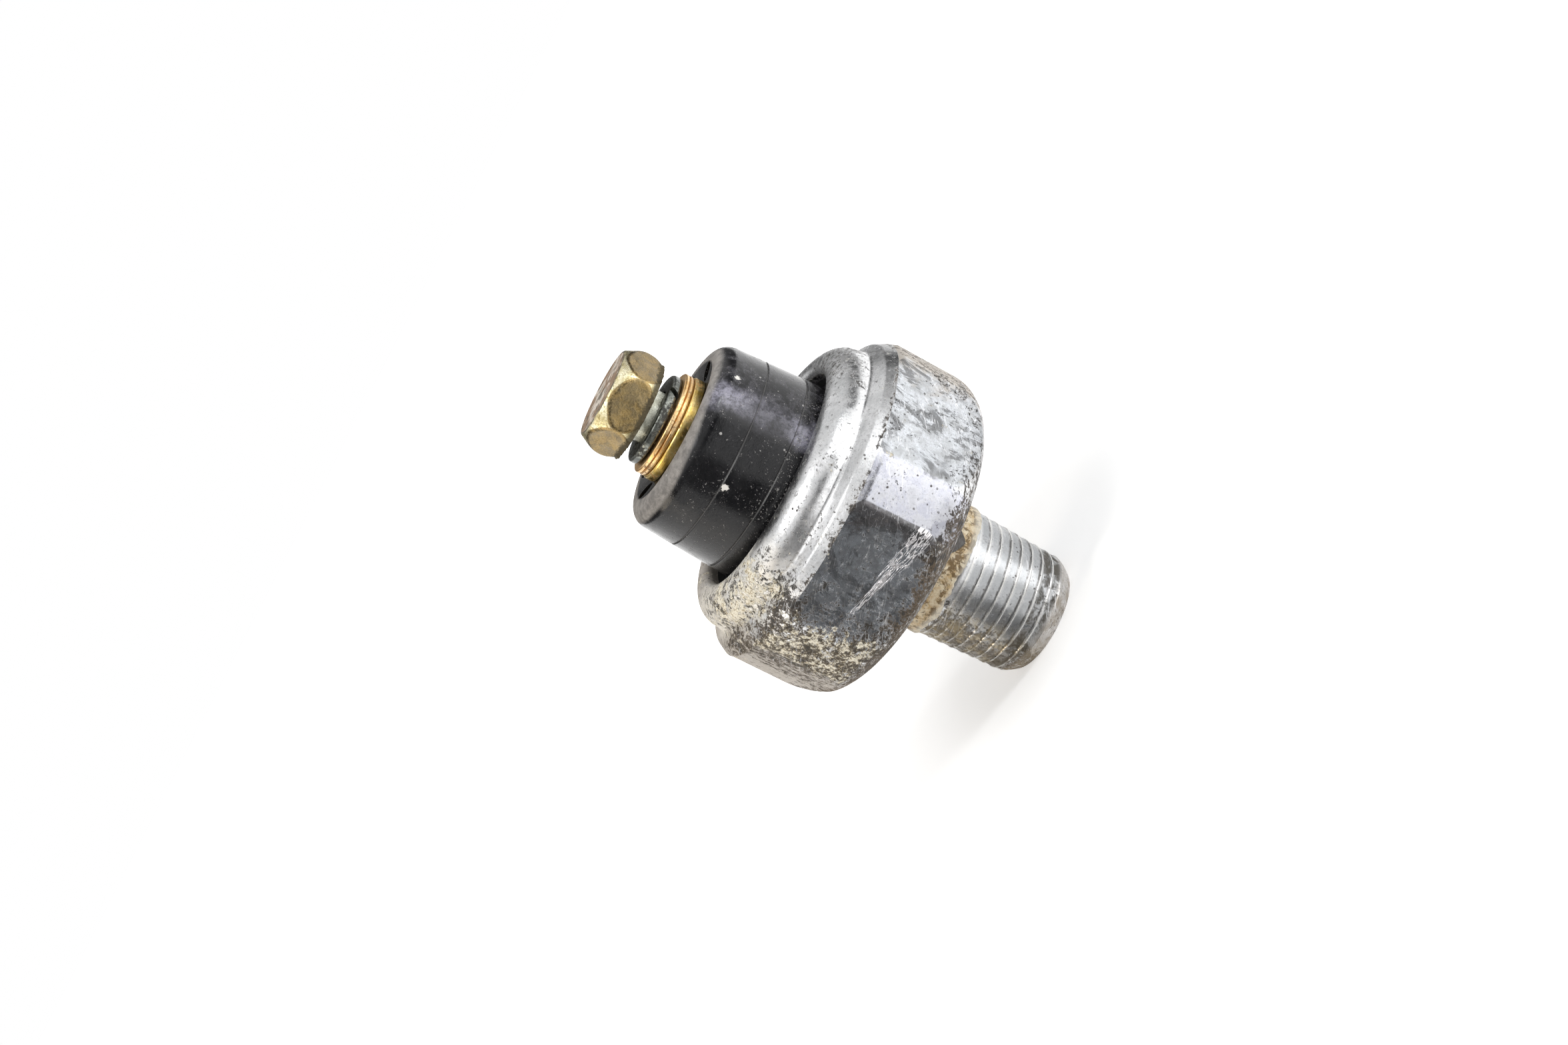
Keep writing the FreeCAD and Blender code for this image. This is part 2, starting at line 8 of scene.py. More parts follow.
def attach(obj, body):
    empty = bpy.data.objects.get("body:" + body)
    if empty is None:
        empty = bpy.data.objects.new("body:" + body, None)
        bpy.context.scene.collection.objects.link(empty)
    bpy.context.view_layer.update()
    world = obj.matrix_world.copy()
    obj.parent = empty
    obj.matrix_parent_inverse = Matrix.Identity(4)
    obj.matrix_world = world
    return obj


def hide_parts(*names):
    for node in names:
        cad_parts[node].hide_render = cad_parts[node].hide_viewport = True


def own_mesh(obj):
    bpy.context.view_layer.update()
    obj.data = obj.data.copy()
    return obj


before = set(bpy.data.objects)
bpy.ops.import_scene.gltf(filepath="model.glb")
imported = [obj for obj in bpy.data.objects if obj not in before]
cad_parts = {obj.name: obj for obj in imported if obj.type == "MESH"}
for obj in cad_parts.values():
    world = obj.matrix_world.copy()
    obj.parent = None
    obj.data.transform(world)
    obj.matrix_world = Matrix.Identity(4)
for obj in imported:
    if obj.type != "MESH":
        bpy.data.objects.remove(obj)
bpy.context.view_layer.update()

# Sizes and places are in millimetres here and become metres in each mesh.
# The origin is on the sender's axis at the underside of the hexagon, +Z towards the terminal.
MM = 0.001
MERGE_DISTANCE = 1e-4

# Photograph's camera
CAMERA_PLACE = (-36.038, -130.157, 40.982)
CAMERA_AIM = (-2.228, 0.576, 9.072)
CAMERA_ROLL = -62.76
LENS = 43.915
SENSOR_WIDTH = 36

# Azimuth that faces the camera: turns are counted from it, downwards in the photograph
FRONT = -104.5

# Nipple and its worn taper thread
NOSE = -11.77
NOSE_CONE = NOSE + 1.3
NOSE_STEP = 0.68
NOSE_CURVE = 1.45
GAUGE_RADIUS = 4.864
GAUGE_HEIGHT = NOSE + 4
TAPER = 0.03125
PITCH = 25.4 / 28
THREAD_CREST = -5.39
THREAD_START = -3.5
THREAD_FULL = -10
THREAD_SHALLOW = 0.045
THREAD_DEEP = 0.075
THREAD_STEPS = 24
THREAD_COLUMNS = 200
CREST_WIDTH = 0.1
NECK_RADIUS = 4.8
NECK_TOP = -0.2
NECK_OVERLAP = 0.3
INLET_RADIUS = 1.5
INLET_CHAMFER = 0.25
SEALANT_GAP_TURN = 26
SEALANT_GAP_REACH = 21

# Hexagon, rim and cavity
FLAT_RADIUS = 12
FLAT_BLEND = 0.07
FLAT_UP = -44.5
FLAT_DOWN = 15.5
OTHER_FLATS = (75.5, 135.5, -164.5, -104.5)
CORNER_UP = (-23.2, -5.8)
HEX_RADIUS = 12.88
HEX_HEIGHT = 7.98
LEDGE = 8.38
UNDERSIDE_ROUND = 3.2
SHOULDER = (12.2, 9.18)
RIM_RADIUS = 11.2
VALLEY = 9.68
RIM_TOP = 12.03
LIP_RADIUS = 8.46
LIP_UNDERSIDE = 11.03
CAVITY_RADIUS = 10
SHELF = 3
FLOOR = 2.4
SEAL_OUTER = 8.85
SEAL_INNER = 7.35
SEAL_FLOOR = 2.1
CHAMBER_RADIUS = 6
BODY_COLUMNS = 450

# Insulator
STACK_RADIUS = 9.9
RING_TOP = 4.3
SKIRT_BORE = 7.6
SPRING_SEAT = 8.2
FOOT_TOP = 9
INSULATOR_SHOULDER = 10.53
STEM_RADIUS = 7.58
STEM_DRAFT = math.radians(3.65)
FACE = 19.34
FACE_ROUND = 1.35
DISH_RADIUS = 5.6
LINES = (12.76, 15.83)
LINE_HALF_WIDTH = 0.09
LINE_RIDGE = 0.015
LINE_DEPTH = 0.05
POCKETS = 8
POCKET_CIRCLE = 4.8
POCKET_RADIUS = 0.75
POCKET_DEPTH = 1.2
POCKET_TURN = 30.5

# Terminal, washers and screw
INSERT_RADIUS = 2.9
INSERT_FOOT_RADIUS = 3.6
INSERT_FIT = 0.02
COLLAR_RADIUS = 4
COLLAR_BASE = 18.99
COLLAR_TOP = 19.75
TAPPING_RADIUS = 2.02
TAPPING_FOOT = 11.95
WASHER_BORE = 2.15
WASHER_RADIUS = 3.9
WASHER_TOP = 20.5
SPRING_WASHER_RADIUS = 3.45
SPRING_WASHER_BORE = 2.1
SPRING_WASHER_SPLIT = -62.5
HEAD_BASE = 22.05
HEAD_TOP = 25.2
HEAD_FLAT_RADIUS = 3.5
HEAD_TURN = 15.5
CROWN_RADIUS = 3.2
SCREW_RADIUS = 1.97
SCREW_TIP = 13.85
SCREW_PITCH = 0.7
SCREW_DEPTH = 0.38

# Contact spring
PLATE_TOP = 5.1
SPRING_RADIUS = 2.35
SPRING_WIRE = 0.25
SPRING_TURNS = 3.5

# Metals: base, tint, dirt, seed, roughness and share of dirt
METALS = {
    "terminal_brass": ((0.76, 0.52, 0.13), (0.9, 0.72, 0.34), (0.34, 0.12, 0.02), 40, 0.2, 0.6),
    "copper_plate": ((0.74, 0.42, 0.14), (0.86, 0.62, 0.33), (0.2, 0.09, 0.03), 44, 0.22, 0.4),
    "dark_steel": ((0.07, 0.075, 0.07), (0.27, 0.28, 0.25), (0.02, 0.017, 0.014), 48, 0.22, 0.7),
    "spring_wire": ((0.62, 0.6, 0.56), (0.72, 0.7, 0.66), (0.3, 0.27, 0.22), 56, 0.25, 0.2),
    "contact_brass": ((0.74, 0.58, 0.27), (0.82, 0.68, 0.4), (0.3, 0.2, 0.1), 60, 0.25, 0.2),
    "contact_silver": ((0.86, 0.85, 0.82), (0.92, 0.91, 0.9), (0.3, 0.28, 0.25), 64, 0.2, 0.2),
}

# Soft and moulded inner parts: base, tint, seed and roughness
MOULDED = {
    "black_rubber": ((0.02, 0.02, 0.02), (0.05, 0.05, 0.05), 68, 0.6),
    "amber_film": ((0.5, 0.28, 0.06), (0.62, 0.38, 0.1), 70, 0.2),
    "ivory_moulding": ((0.66, 0.62, 0.52), (0.76, 0.73, 0.64), 72, 0.4),
}

# Studio: brightnesses where 1 is white, and the distance from the axis at which no shadow shows
FLOOR_SIZE = 4000
FLOOR_GREY = 0.86
FLOOR_GLOW = 0.38
SHADOW_REACH = 70
WORLD_LIGHT = 0.5
WALL_LIGHT = 0.12
WALL_TOP = (0.25, 0.6)

# Cards that only show in reflections: name, turns, grey and glow
CARDS = (
    ("grey_card", (8, 48), 0.3, 0),
    ("white_card", (-62, -36), 0.9, 1.6),
)
CARD_NEAR = 7
CARD_FAR = 60
CARD_BASE = NOSE + 0.05
CARD_HEIGHT = 40

# Lamps: name, turn, elevation, distance, size, watts and colour
LAMPS = (
    ("key", -55, 14, 165, (30, 118), 0.15, (0.96, 0.98, 1)),
    ("top", 20, 70, 260, (120, 120), 0.18, (1, 1, 1)),
    ("fill", 85, 18, 300, (120, 170), 0.26, (1, 0.9, 0.76)),
)
LAMP_AIM = Vector((0, 0, 7))


# Outlines: lists of (radius, height) points
def rounded(corners, step=12):
    """Open outline through corners of (radius, height) or (radius, height, rounding)."""
    outline = []
    last = len(corners) - 1
    for index, corner in enumerate(corners):
        here = Vector(corner[:2])
        rounding = corner[2] if len(corner) > 2 else 0
        if not rounding or index in (0, last):
            outline.append(tuple(here))
            continue
        back = (Vector(corners[index - 1][:2]) - here).normalized()
        ahead = (Vector(corners[index + 1][:2]) - here).normalized()
        half = back.angle(ahead) / 2
        centre = here + (back + ahead).normalized() * rounding / math.sin(half)
        start = here + back * rounding / math.tan(half) - centre
        end = here + ahead * rounding / math.tan(half) - centre
        sweep = start.angle_signed(end)
        pieces = max(2, math.ceil(abs(math.degrees(sweep)) / step))
        for piece in range(pieces + 1):
            outline.append(tuple(centre + Matrix.Rotation(-sweep * piece / pieces, 2) @ start))
    return outline


def subdivided(outline, longest):
    """The same outline with no run longer than the given length."""
    points = [outline[0]]
    for start, end in zip(outline, outline[1:]):
        pieces = max(1, math.ceil(math.dist(start, end) / longest))
        for piece in range(1, pieces + 1):
            share = piece / pieces
            points.append(tuple(a + (b - a) * share for a, b in zip(start, end)))
    return points


# Meshes
def make_object(name, points, faces, smooth_angle=35):
    """Object from points in millimetres, merged, facing outwards and smooth up to an angle."""
    mesh = bpy.data.meshes.new(name)
    mesh.from_pydata([tuple(value * MM for value in point) for point in points], [], faces)
    work = bmesh.new()
    work.from_mesh(mesh)
    bmesh.ops.remove_doubles(work, verts=work.verts, dist=MERGE_DISTANCE * MM)
    bmesh.ops.dissolve_degenerate(work, edges=work.edges, dist=MERGE_DISTANCE * MM)
    bmesh.ops.recalc_face_normals(work, faces=work.faces)
    work.to_mesh(mesh)
    work.free()
    mesh.shade_smooth()
    mesh.set_sharp_from_angle(angle=math.radians(smooth_angle))
    piece = bpy.data.objects.new(name, mesh)
    bpy.context.scene.collection.objects.link(piece)
    return piece


def at(radius, angle, height):
    """Point at an azimuth round the axis."""
    return radius * math.cos(angle), radius * math.sin(angle), height


def ring_faces(rows, columns, start=0, closed=False):
    """Quads between the rings of points, and from the last ring to the first if closed."""
    faces = []
    for row in range(rows if closed else rows - 1):
        low = start + row * columns
        high = start + (row + 1) % rows * columns
        for column in range(columns):
            beside = (column + 1) % columns
            faces.append((low + column, low + beside, high + beside, high + column))
    return faces


def turned(name, outline, columns, closed=False, reshape=None, smooth_angle=35):
    """Outline turned about Z. reshape(row, angle, radius, height) may give another radius."""
    points = []
    for row, (radius, height) in enumerate(outline):
        for column in range(columns):
            angle = 2 * math.pi * column / columns
            reach = reshape(row, angle, radius, height) if reshape else radius
            points.append(at(reach, angle, height))
    return make_object(name, points, ring_faces(len(outline), columns, closed=closed), smooth_angle)


def screwed(name, radius_at, low, high, pitch, crest, steps, columns, outline_low, outline_high):
    """Threaded surface whose rows climb one pitch a turn, closed off by turned outlines."""
    rise = pitch / steps
    first = math.floor((low - pitch - crest) / rise)
    last = math.ceil((high + pitch - crest) / rise)
    rows = last - first + 1
    points = []
    for row in range(rows):
        for column in range(columns):
            turn = column / columns
            height = crest + (first + row) * rise + turn * pitch
            inside = min(max(height, low), high)
            phase = ((first + row) / steps) % 1
            points.append(at(radius_at(inside, phase), 2 * math.pi * turn, inside))
    faces = []
    for row in range(rows - 1):
        for column in range(columns):
            lift = 0 if column + 1 < columns else steps
            beside = (column + 1) % columns
            if row + 1 + lift >= rows:
                continue
            faces.append((
                row * columns + column,
                (row + lift) * columns + beside,
                (row + 1 + lift) * columns + beside,
                (row + 1) * columns + column,
            ))
    angles = [2 * math.pi * column / columns for column in range(columns)]
    for outline in (outline_low, outline_high):
        faces += ring_faces(len(outline), columns, len(points))
        points += [at(radius, angle, height) for radius, height in outline for angle in angles]
    return make_object(name, points, faces)


def smaller(first, second, blend):
    """The smaller of two lengths, with their meeting rounded over the blend."""
    share = min(max(0.5 + 0.5 * (second - first) / blend, 0), 1)
    return second + (first - second) * share - blend * share * (1 - share)


def hexagon_radius(angle, flat_radius, turn=0):
    """Distance from the axis to a hexagon with one flat facing the turn angle."""
    away = (angle - turn + math.pi / 6) % (math.pi / 3) - math.pi / 6
    return flat_radius / math.cos(away)


def from_front(turn):
    """Azimuth in radians of a turn counted from the camera's side, in degrees."""
    return math.radians(FRONT - turn)


def bump_field(angle, radius, height, size, seed):
    """Smooth noise from -1 to 1 on the surface, at a feature size in millimetres."""
    place = Vector(at(radius, angle, height)) / size
    return noise.noise(place + Vector((seed, seed * 2.3, -seed)))


# Node trees
class Nodes:
    """Node tree whose values may be sockets or plain numbers and colours. A mask runs from 0 to 1."""

    def __init__(self, tree):
        self.tree = tree
        tree.nodes.clear()

    def add(self, kind, **settings):
        node = self.tree.nodes.new(kind)
        for name, value in settings.items():
            setattr(node, name, value)
        return node

    def feed(self, socket, value):
        if isinstance(value, bpy.types.NodeSocket):
            self.tree.links.new(value, socket)
        elif isinstance(value, tuple) and socket.type == "RGBA":
            socket.default_value = (*value, 1)
        else:
            socket.default_value = value

    def put(self, node, **inputs):
        """Feeds a node's inputs, whose names have an underscore for each space."""
        for name, value in inputs.items():
            self.feed(node.inputs[name.replace("_", " ")], value)

    def math(self, operation, first, second=0):
        node = self.add("ShaderNodeMath", operation=operation)
        self.feed(node.inputs[0], first)
        self.feed(node.inputs[1], second)
        return node.outputs[0]

    def plus(self, first, second):
        return self.math("ADD", first, second)

    def minus(self, first, second):
        return self.math("SUBTRACT", first, second)

    def times(self, first, second):
        return self.math("MULTIPLY", first, second)

    def length(self, first, second):
        """Length of the long side of a right-angled triangle."""
        return self.math("SQRT", self.plus(self.times(first, first), self.times(second, second)))

    def ramp(self, value, low, high, start=0, end=1):
        """Smooth step of a value from low to high, which may be the smaller one."""
        node = self.add("ShaderNodeMapRange", interpolation_type="SMOOTHSTEP")
        self.put(node, Value=value, From_Min=low, From_Max=high, To_Min=start, To_Max=end)
        return node.outputs[0]

    def band(self, value, low, high, soft):
        """1 between low and high, falling to 0 over the soft width."""
        rise = self.ramp(value, low - soft, low + soft)
        return self.times(rise, self.ramp(value, high + soft, high - soft))

    def both(self, *masks):
        result = masks[0]
        for mask in masks[1:]:
            result = self.times(result, mask)
        return result

    def either(self, *masks):
        result = masks[0]
        for mask in masks[1:]:
            result = self.math("MAXIMUM", result, mask)
        return result

    def blend(self, share, first, second, kind="FLOAT"):
        """Number between first and second."""
        node = self.add("ShaderNodeMix", data_type=kind)
        self.put(node, Factor=share, A=first, B=second)
        return node.outputs["Result"]

    def mix(self, share, first, second):
        """Colour between first and second."""
        return self.blend(share, first, second, "RGBA")


class Finish(Nodes):
    """Material with one surface, whose colour is painted in layers. Places in it are in millimetres."""

    def __init__(self, name):
        self.material = bpy.data.materials.new(name)
        self.material.use_nodes = True
        super().__init__(self.material.node_tree)
        self.surface = self.add("ShaderNodeBsdfPrincipled")
        self.output = self.add("ShaderNodeOutputMaterial")
        self.put(self.output, Surface=self.surface.outputs["BSDF"])
        coordinate = self.add("ShaderNodeTexCoord")
        scale = self.add("ShaderNodeVectorMath", operation="SCALE")
        self.put(scale, Vector=coordinate.outputs["Object"], Scale=1 / MM)
        self.place = scale.outputs["Vector"]
        parts = self.add("ShaderNodeSeparateXYZ")
        self.put(parts, Vector=self.place)
        self.height = parts.outputs["Z"]
        front = math.radians(FRONT)
        towards = self.dot((math.cos(front), math.sin(front), 0))
        across = self.dot((math.sin(front), -math.cos(front), 0))
        self.radius = self.length(towards, across)
        self.turn = self.times(self.math("ARCTAN2", across, towards), 180 / math.pi)
        self.colour = (0, 0, 0)

    def dot(self, direction):
        node = self.add("ShaderNodeVectorMath", operation="DOT_PRODUCT")
        self.feed(node.inputs[0], self.place)
        self.feed(node.inputs[1], direction)
        return node.outputs["Value"]

    def unrolled(self, along=1, up=1, shear=0):
        """Coordinates on the unrolled side: arc length, height, radius, each scaled."""
        arc = self.times(self.times(self.turn, math.pi / 180), self.radius)
        leaning = self.plus(self.height, self.times(arc, shear))
        node = self.add("ShaderNodeCombineXYZ")
        self.put(node, X=self.times(arc, along), Y=self.times(leaning, up), Z=self.radius)
        return node.outputs[0]

    def noise(self, size, detail=4, roughness=0.55, distortion=0, seed=0, where=None):
        """Noise from 0 to 1 with features of about the given size."""
        node = self.add("ShaderNodeTexNoise", noise_dimensions="4D")
        self.put(node, Vector=where or self.place, W=seed, Scale=1 / size)
        self.put(node, Detail=detail, Roughness=roughness, Distortion=distortion)
        return node.outputs["Fac"]

    def specks(self, spacing, share, seed):
        """1 in scattered round specks, which fill about the given share of their cells' width."""
        node = self.add("ShaderNodeTexVoronoi", voronoi_dimensions="4D", feature="F1")
        self.put(node, Vector=self.place, W=seed, Scale=1 / spacing)
        return self.ramp(node.outputs["Distance"], share, share * 0.6)

    def scratches(self, size, stretch, shear, threshold, seed):
        """Thin lines along the leaning arc direction of the unrolled side."""
        field = self.noise(size, 2, 0.5, 0, seed, self.unrolled(1 / stretch, 1, shear))
        line = self.math("ABSOLUTE", self.minus(field, 0.5))
        return self.ramp(line, threshold, threshold * 0.4)

    def flat(self, turn, flat_radius=FLAT_RADIUS):
        """1 on the hexagon flat that faces a turn."""
        angle = from_front(turn)
        reach = self.dot((math.cos(angle), math.sin(angle), 0))
        return self.ramp(reach, flat_radius - 0.12, flat_radius - 0.07)

    def paint(self, tone, *masks):
        """Lays a tone over the colour so far, where the product of the masks says."""
        self.colour = self.mix(self.both(*masks), self.colour, tone)

    def bumps(self, *layers):
        """Bumps on each other: 0 to 1 height, its distance in millimetres and strength."""
        under = None
        for height, distance, strength in layers:
            node = self.add("ShaderNodeBump")
            self.put(node, Height=height, Distance=distance * MM, Strength=strength)
            if under is not None:
                self.put(node, Normal=under)
            under = node.outputs["Normal"]
        self.put(self.surface, Normal=under)

    def set(self, **inputs):
        """Feeds the surface with the colour so far and the given inputs."""
        self.put(self.surface, Base_Color=self.colour, **inputs)


# Worn zinc plate, painted from the bare metal up
def add_zinc_fields(f):
    """Noises and masks that the layers share. The wavy turn and height keep their edges ragged."""
    f.cloud = f.noise(4, 6, 0.62, 0.3, 1)
    f.mottle = f.noise(0.9, 8, 0.72, 0.4, 2)
    f.grain = f.noise(0.16, 3, 0.7, 0, 3)
    f.drift = f.minus(f.noise(2, 6, 0.7, 0.5, 4), 0.5)
    f.wavy_turn = f.plus(f.turn, f.times(f.drift, 40))
    f.wavy_height = f.plus(f.height, f.times(f.drift, 4))
    f.uneven = f.times(f.minus(f.mottle, 0.5), 0.35)
    f.not_back = f.both(f.ramp(f.turn, 165, 110), f.ramp(f.turn, -165, -120))
    f.on_side = f.both(f.ramp(f.height, 0.2, 0.5), f.ramp(f.height, LEDGE - 0.01, LEDGE - 0.06))
    f.flat_up = f.both(f.on_side, f.flat(FLAT_UP))
    f.flat_down = f.both(f.on_side, f.flat(FLAT_DOWN))


def paint_plate(f):
    """Grey clouds and bluer flats, with painted light: a darker bluish corner that is painted shade, a
    darker flat facing down that is partly tarnish and partly a painted dark reflection, and warmer low
    and far sides, where the warmth on the low side is painted bounce light from the floor. Returns the
    dulled area.
    """
    turn = f.wavy_turn
    silver = f.mix(f.ramp(f.cloud, 0.35, 0.65), (0.52, 0.525, 0.53), (0.72, 0.72, 0.725))
    f.colour = f.mix(f.ramp(f.mottle, 0.48, 0.64, 0, 0.5), silver, (0.36, 0.355, 0.35))
    blue = f.mix(f.ramp(f.mottle, 0.38, 0.62), (0.48, 0.5, 0.53), (0.33, 0.34, 0.35))
    dark = f.mix(f.ramp(f.mottle, 0.4, 0.58), (0.47, 0.5, 0.54), (0.25, 0.26, 0.28))
    f.paint(blue, f.on_side, f.either(*[f.flat(facing) for facing in OTHER_FLATS]), 0.65)
    f.paint(blue, f.flat_up, 0.85)
    # Painted shade: the corner between the two flats that face the camera is toned down to a darker
    # bluish grey.
    corner_up = f.both(f.on_side, f.band(f.turn, *CORNER_UP, 0.3))
    f.paint((0.37, 0.375, 0.42), corner_up, f.ramp(f.mottle, 0.55, 0.42, 0.6, 1))
    # The flat that faces down is darker: partly tarnish, partly a painted dark reflection.
    f.paint(dark, f.flat_down, 0.95)
    # On the low side the warm tone is painted bounce light from the floor; the far side gets it as a
    # warmer tone of the plate.
    low = f.both(f.ramp(turn, 48, 66), f.ramp(turn, 170, 130), f.ramp(f.height, -0.4, 0))
    far = f.both(f.ramp(turn, -58, -70), f.ramp(turn, -150, -110), f.on_side)
    warm = f.either(low, far)
    f.paint(f.mix(f.cloud, (0.38, 0.33, 0.27), (0.52, 0.46, 0.39)), warm, 0.75)
    milky_place = f.both(f.band(turn, 30, 95, 12), f.ramp(f.wavy_height, 8.8, 10))
    milky = f.both(milky_place, f.ramp(f.mottle, 0.36, 0.58, 0.5, 0.9))
    f.paint((0.86, 0.82, 0.74), milky)
    f.paint((0.22, 0.22, 0.23), f.ramp(f.grain, 0.5, 0.72, 0, 0.4))
    # Darker still towards the flat's upper part: painted dark reflection, partly tarnish.
    f.paint((0.13, 0.12, 0.12), f.flat_down, f.ramp(turn, 2, -3), 0.8)
    return f.either(milky, warm)


def paint_smears(f):
    """Black smears along the two flats that face the camera."""
    field = f.noise(1.3, 7, 0.72, 1, 5, f.unrolled(0.9, 0.5, 0.5))
    place = f.ramp(f.noise(3, 2, 0.5, 0, 7), 0.38, 0.52)
    smear = f.both(f.ramp(field, 0.49, 0.58), place, f.either(f.flat_up, f.both(f.flat_down, 0.8)))
    f.paint((0.08, 0.08, 0.08), smear, 0.75)


def paint_crust(f):
    """Cream crust on the low corner and the rim beside it. Returns its area, itself and its speckle."""
    turn = f.wavy_turn
    height = f.wavy_height
    patches = f.times(f.noise(1.1, 4, 0.6, 0.4, 17), 0.5)
    speckle = f.plus(patches, f.times(f.noise(0.26, 8, 0.8, 0.4, 6), 0.5))
    area = f.either(
        f.both(f.band(turn, 36, 60, 5), f.band(height, 1.5, 8.6, 0.9)),
        f.both(f.band(turn, 30, 76, 10), f.band(height, 9.3, 12.3, 0.7), 0.75),
        f.both(f.band(turn, 50, 120, 20), f.band(height, 7.5, 12, 1.5), 0.35),
    )
    crust = f.ramp(f.plus(f.plus(speckle, f.uneven), f.times(area, 0.19)), 0.615, 0.645)
    f.paint(f.mix(f.ramp(f.grain, 0.48, 0.66), (0.9, 0.85, 0.72), (0.46, 0.36, 0.2)), crust, 0.95)
    return area, crust, speckle


def paint_grime(f, crust_area):
    """Brown and black grime in clustered specks, thick on the low side and under the hexagon."""
    turn = f.wavy_turn
    height = f.wavy_height
    low_side = f.both(f.ramp(turn, 10, 42, 0, 0.8), f.ramp(turn, 62, 110, 1, 0.2))
    low_side = f.both(low_side, f.ramp(height, 9, 10.2, 1, 0.55), f.not_back)
    under_side = f.either(f.both(f.ramp(turn, -70, 0), f.not_back), 0.35)
    under_hex = f.both(f.ramp(height, 0.6, 3.4, 1.15, 0), f.ramp(f.height, -0.6, -0.1), under_side)
    ledge = f.both(f.band(f.height, LEDGE - 0.15, LEDGE + 0.25, 0.15), f.ramp(f.cloud, 0.35, 0.6), 0.8)
    rim_back = f.both(f.ramp(f.height, 9.6, 10.4), f.ramp(turn, -15, -60), f.not_back, 0.42)
    far_corner = f.both(f.band(turn, -92, -64, 8), f.on_side, 0.5)
    dirty = f.either(low_side, under_hex, ledge, rim_back, far_corner, 0.05)
    clusters = f.plus(f.noise(0.36, 8, 0.8, 0.3, 16), f.times(f.minus(f.cloud, 0.5), 0.35))
    clusters = f.minus(clusters, f.both(f.uneven, crust_area))
    grime = f.ramp(f.plus(clusters, f.times(dirty, 0.165)), 0.6, 0.65)
    f.paint(f.mix(f.ramp(clusters, 0.48, 0.6), (0.13, 0.09, 0.05), (0.02, 0.015, 0.01)), grime, 0.92)
    return grime


def paint_thread(f):
    """Pale crests, from wear of the plating and a painted highlight; painted shade in the hollows and on
    one flank of each crest; painted shade and a yellowish painted bounce light on the low side; stain
    marks towards the nose; and a dark neck that is painted shade in the gap, partly dirt. Returns the
    stain marks and the neck.
    """
    nipple = f.ramp(f.height, -3.3, -3.6)
    helix = f.plus(f.minus(f.height, THREAD_CREST), f.times(f.turn, PITCH / 360))
    phase = f.math("FRACT", f.math("DIVIDE", helix, PITCH))
    off_crest = f.math("MINIMUM", phase, f.minus(1, phase))
    grooves = f.both(nipple, f.ramp(f.height, NOSE_CONE, NOSE_CONE + 0.4))
    # Painted shade in the hollows between the crests.
    f.paint((0.26, 0.275, 0.29), grooves, f.ramp(off_crest, 0.06, 0.3, 0, 0.55))
    # Pale crests: wear of the plating and a painted highlight.
    crest_wear_and_highlight = f.ramp(f.mottle, 0.36, 0.6, 0.75, 0.35)
    f.paint((0.74, 0.73, 0.69), grooves, f.ramp(off_crest, 0.1, 0.03), crest_wear_and_highlight)
    # Painted shade on one flank of each crest.
    flank = f.both(grooves, f.band(phase, 0.08, 0.24, 0.04))
    f.paint((0.09, 0.085, 0.08), flank, f.ramp(f.mottle, 0.38, 0.58, 0.3, 0.85))
    # Painted shade in the hollows on the low side.
    low_side_shade = f.both(f.ramp(off_crest, 0.02, 0.14, 0.4, 1), f.ramp(f.turn, 18, 62, 0, 0.8))
    f.paint((0.14, 0.115, 0.08), grooves, low_side_shade, f.not_back)
    # Near black neck in the gap under the hexagon: painted shade, partly dirt.
    neck = f.both(f.ramp(f.height, -3.3, -2.9), f.ramp(f.height, -0.05, -0.1))
    neck_shade_and_dirt = f.mix(f.grain, (0.02, 0.017, 0.014), (0.07, 0.055, 0.04))
    f.paint(neck_shade_and_dirt, neck, f.ramp(f.mottle, 0.38, 0.62, 0.97, 0.72))
    field = f.noise(1.1, 5, 0.65, 0.4, 8)
    # Yellowish tone on the low side of the nipple: painted warm bounce light.
    yellow = f.both(nipple, f.ramp(f.wavy_turn, 5, 45), f.not_back)
    f.paint((0.42, 0.34, 0.2), yellow, f.ramp(field, 0.42, 0.6, 0, 0.55))
    nose = f.ramp(f.height, NOSE_CONE + 0.2, NOSE_CONE - 0.3)
    f.paint((0.32, 0.275, 0.22), nose, f.ramp(f.mottle, 0.4, 0.6, 0.4, 0.8))
    last = f.both(f.band(f.height, NOSE_CONE - 0.1, NOSE_CONE + 1.5, 0.25), f.ramp(off_crest, 0.08, 0.2))
    stain = f.both(last, f.ramp(field, 0.4, 0.58))
    f.paint((0.06, 0.05, 0.035), stain, 0.9)
    return f.either(stain, neck)


def paint_pits(f):
    """Small dark pits, in clusters. Returns the larger ones."""
    pits = f.both(f.specks(0.45, 0.26, 9), f.ramp(f.mottle, 0.44, 0.55))
    small = f.both(f.specks(0.2, 0.24, 10), f.ramp(f.cloud, 0.38, 0.55))
    f.paint((0.06, 0.05, 0.045), f.either(pits, f.both(small, 0.7)), 0.85)
    return pits


def paint_scratches(f):
    """One bundle of deep scratches over the dark flat, which is returned, and faint ones elsewhere."""
    leaning = f.minus(f.height, f.times(f.turn, 0.045))
    wander = f.plus(leaning, f.times(f.drift, 0.7))
    width = f.ramp(f.turn, -4, 26, 0.65, 0.18)
    off_middle = f.math("DIVIDE", f.math("ABSOLUTE", f.minus(wander, 3.35)), width)
    area = f.both(f.flat_down, f.ramp(off_middle, 1.3, 0.8), f.ramp(f.wavy_turn, 34, 22))
    bundle = f.both(area, f.scratches(0.17, 45, -0.21, 0.07, 12))
    faint = f.scratches(0.5, 12, 0.35, 0.012, 14)
    f.paint((0.97, 0.94, 0.95), bundle, 0.95)
    f.paint((0.8, 0.8, 0.82), faint, f.ramp(f.cloud, 0.45, 0.6, 0, 0.5))
    return bundle


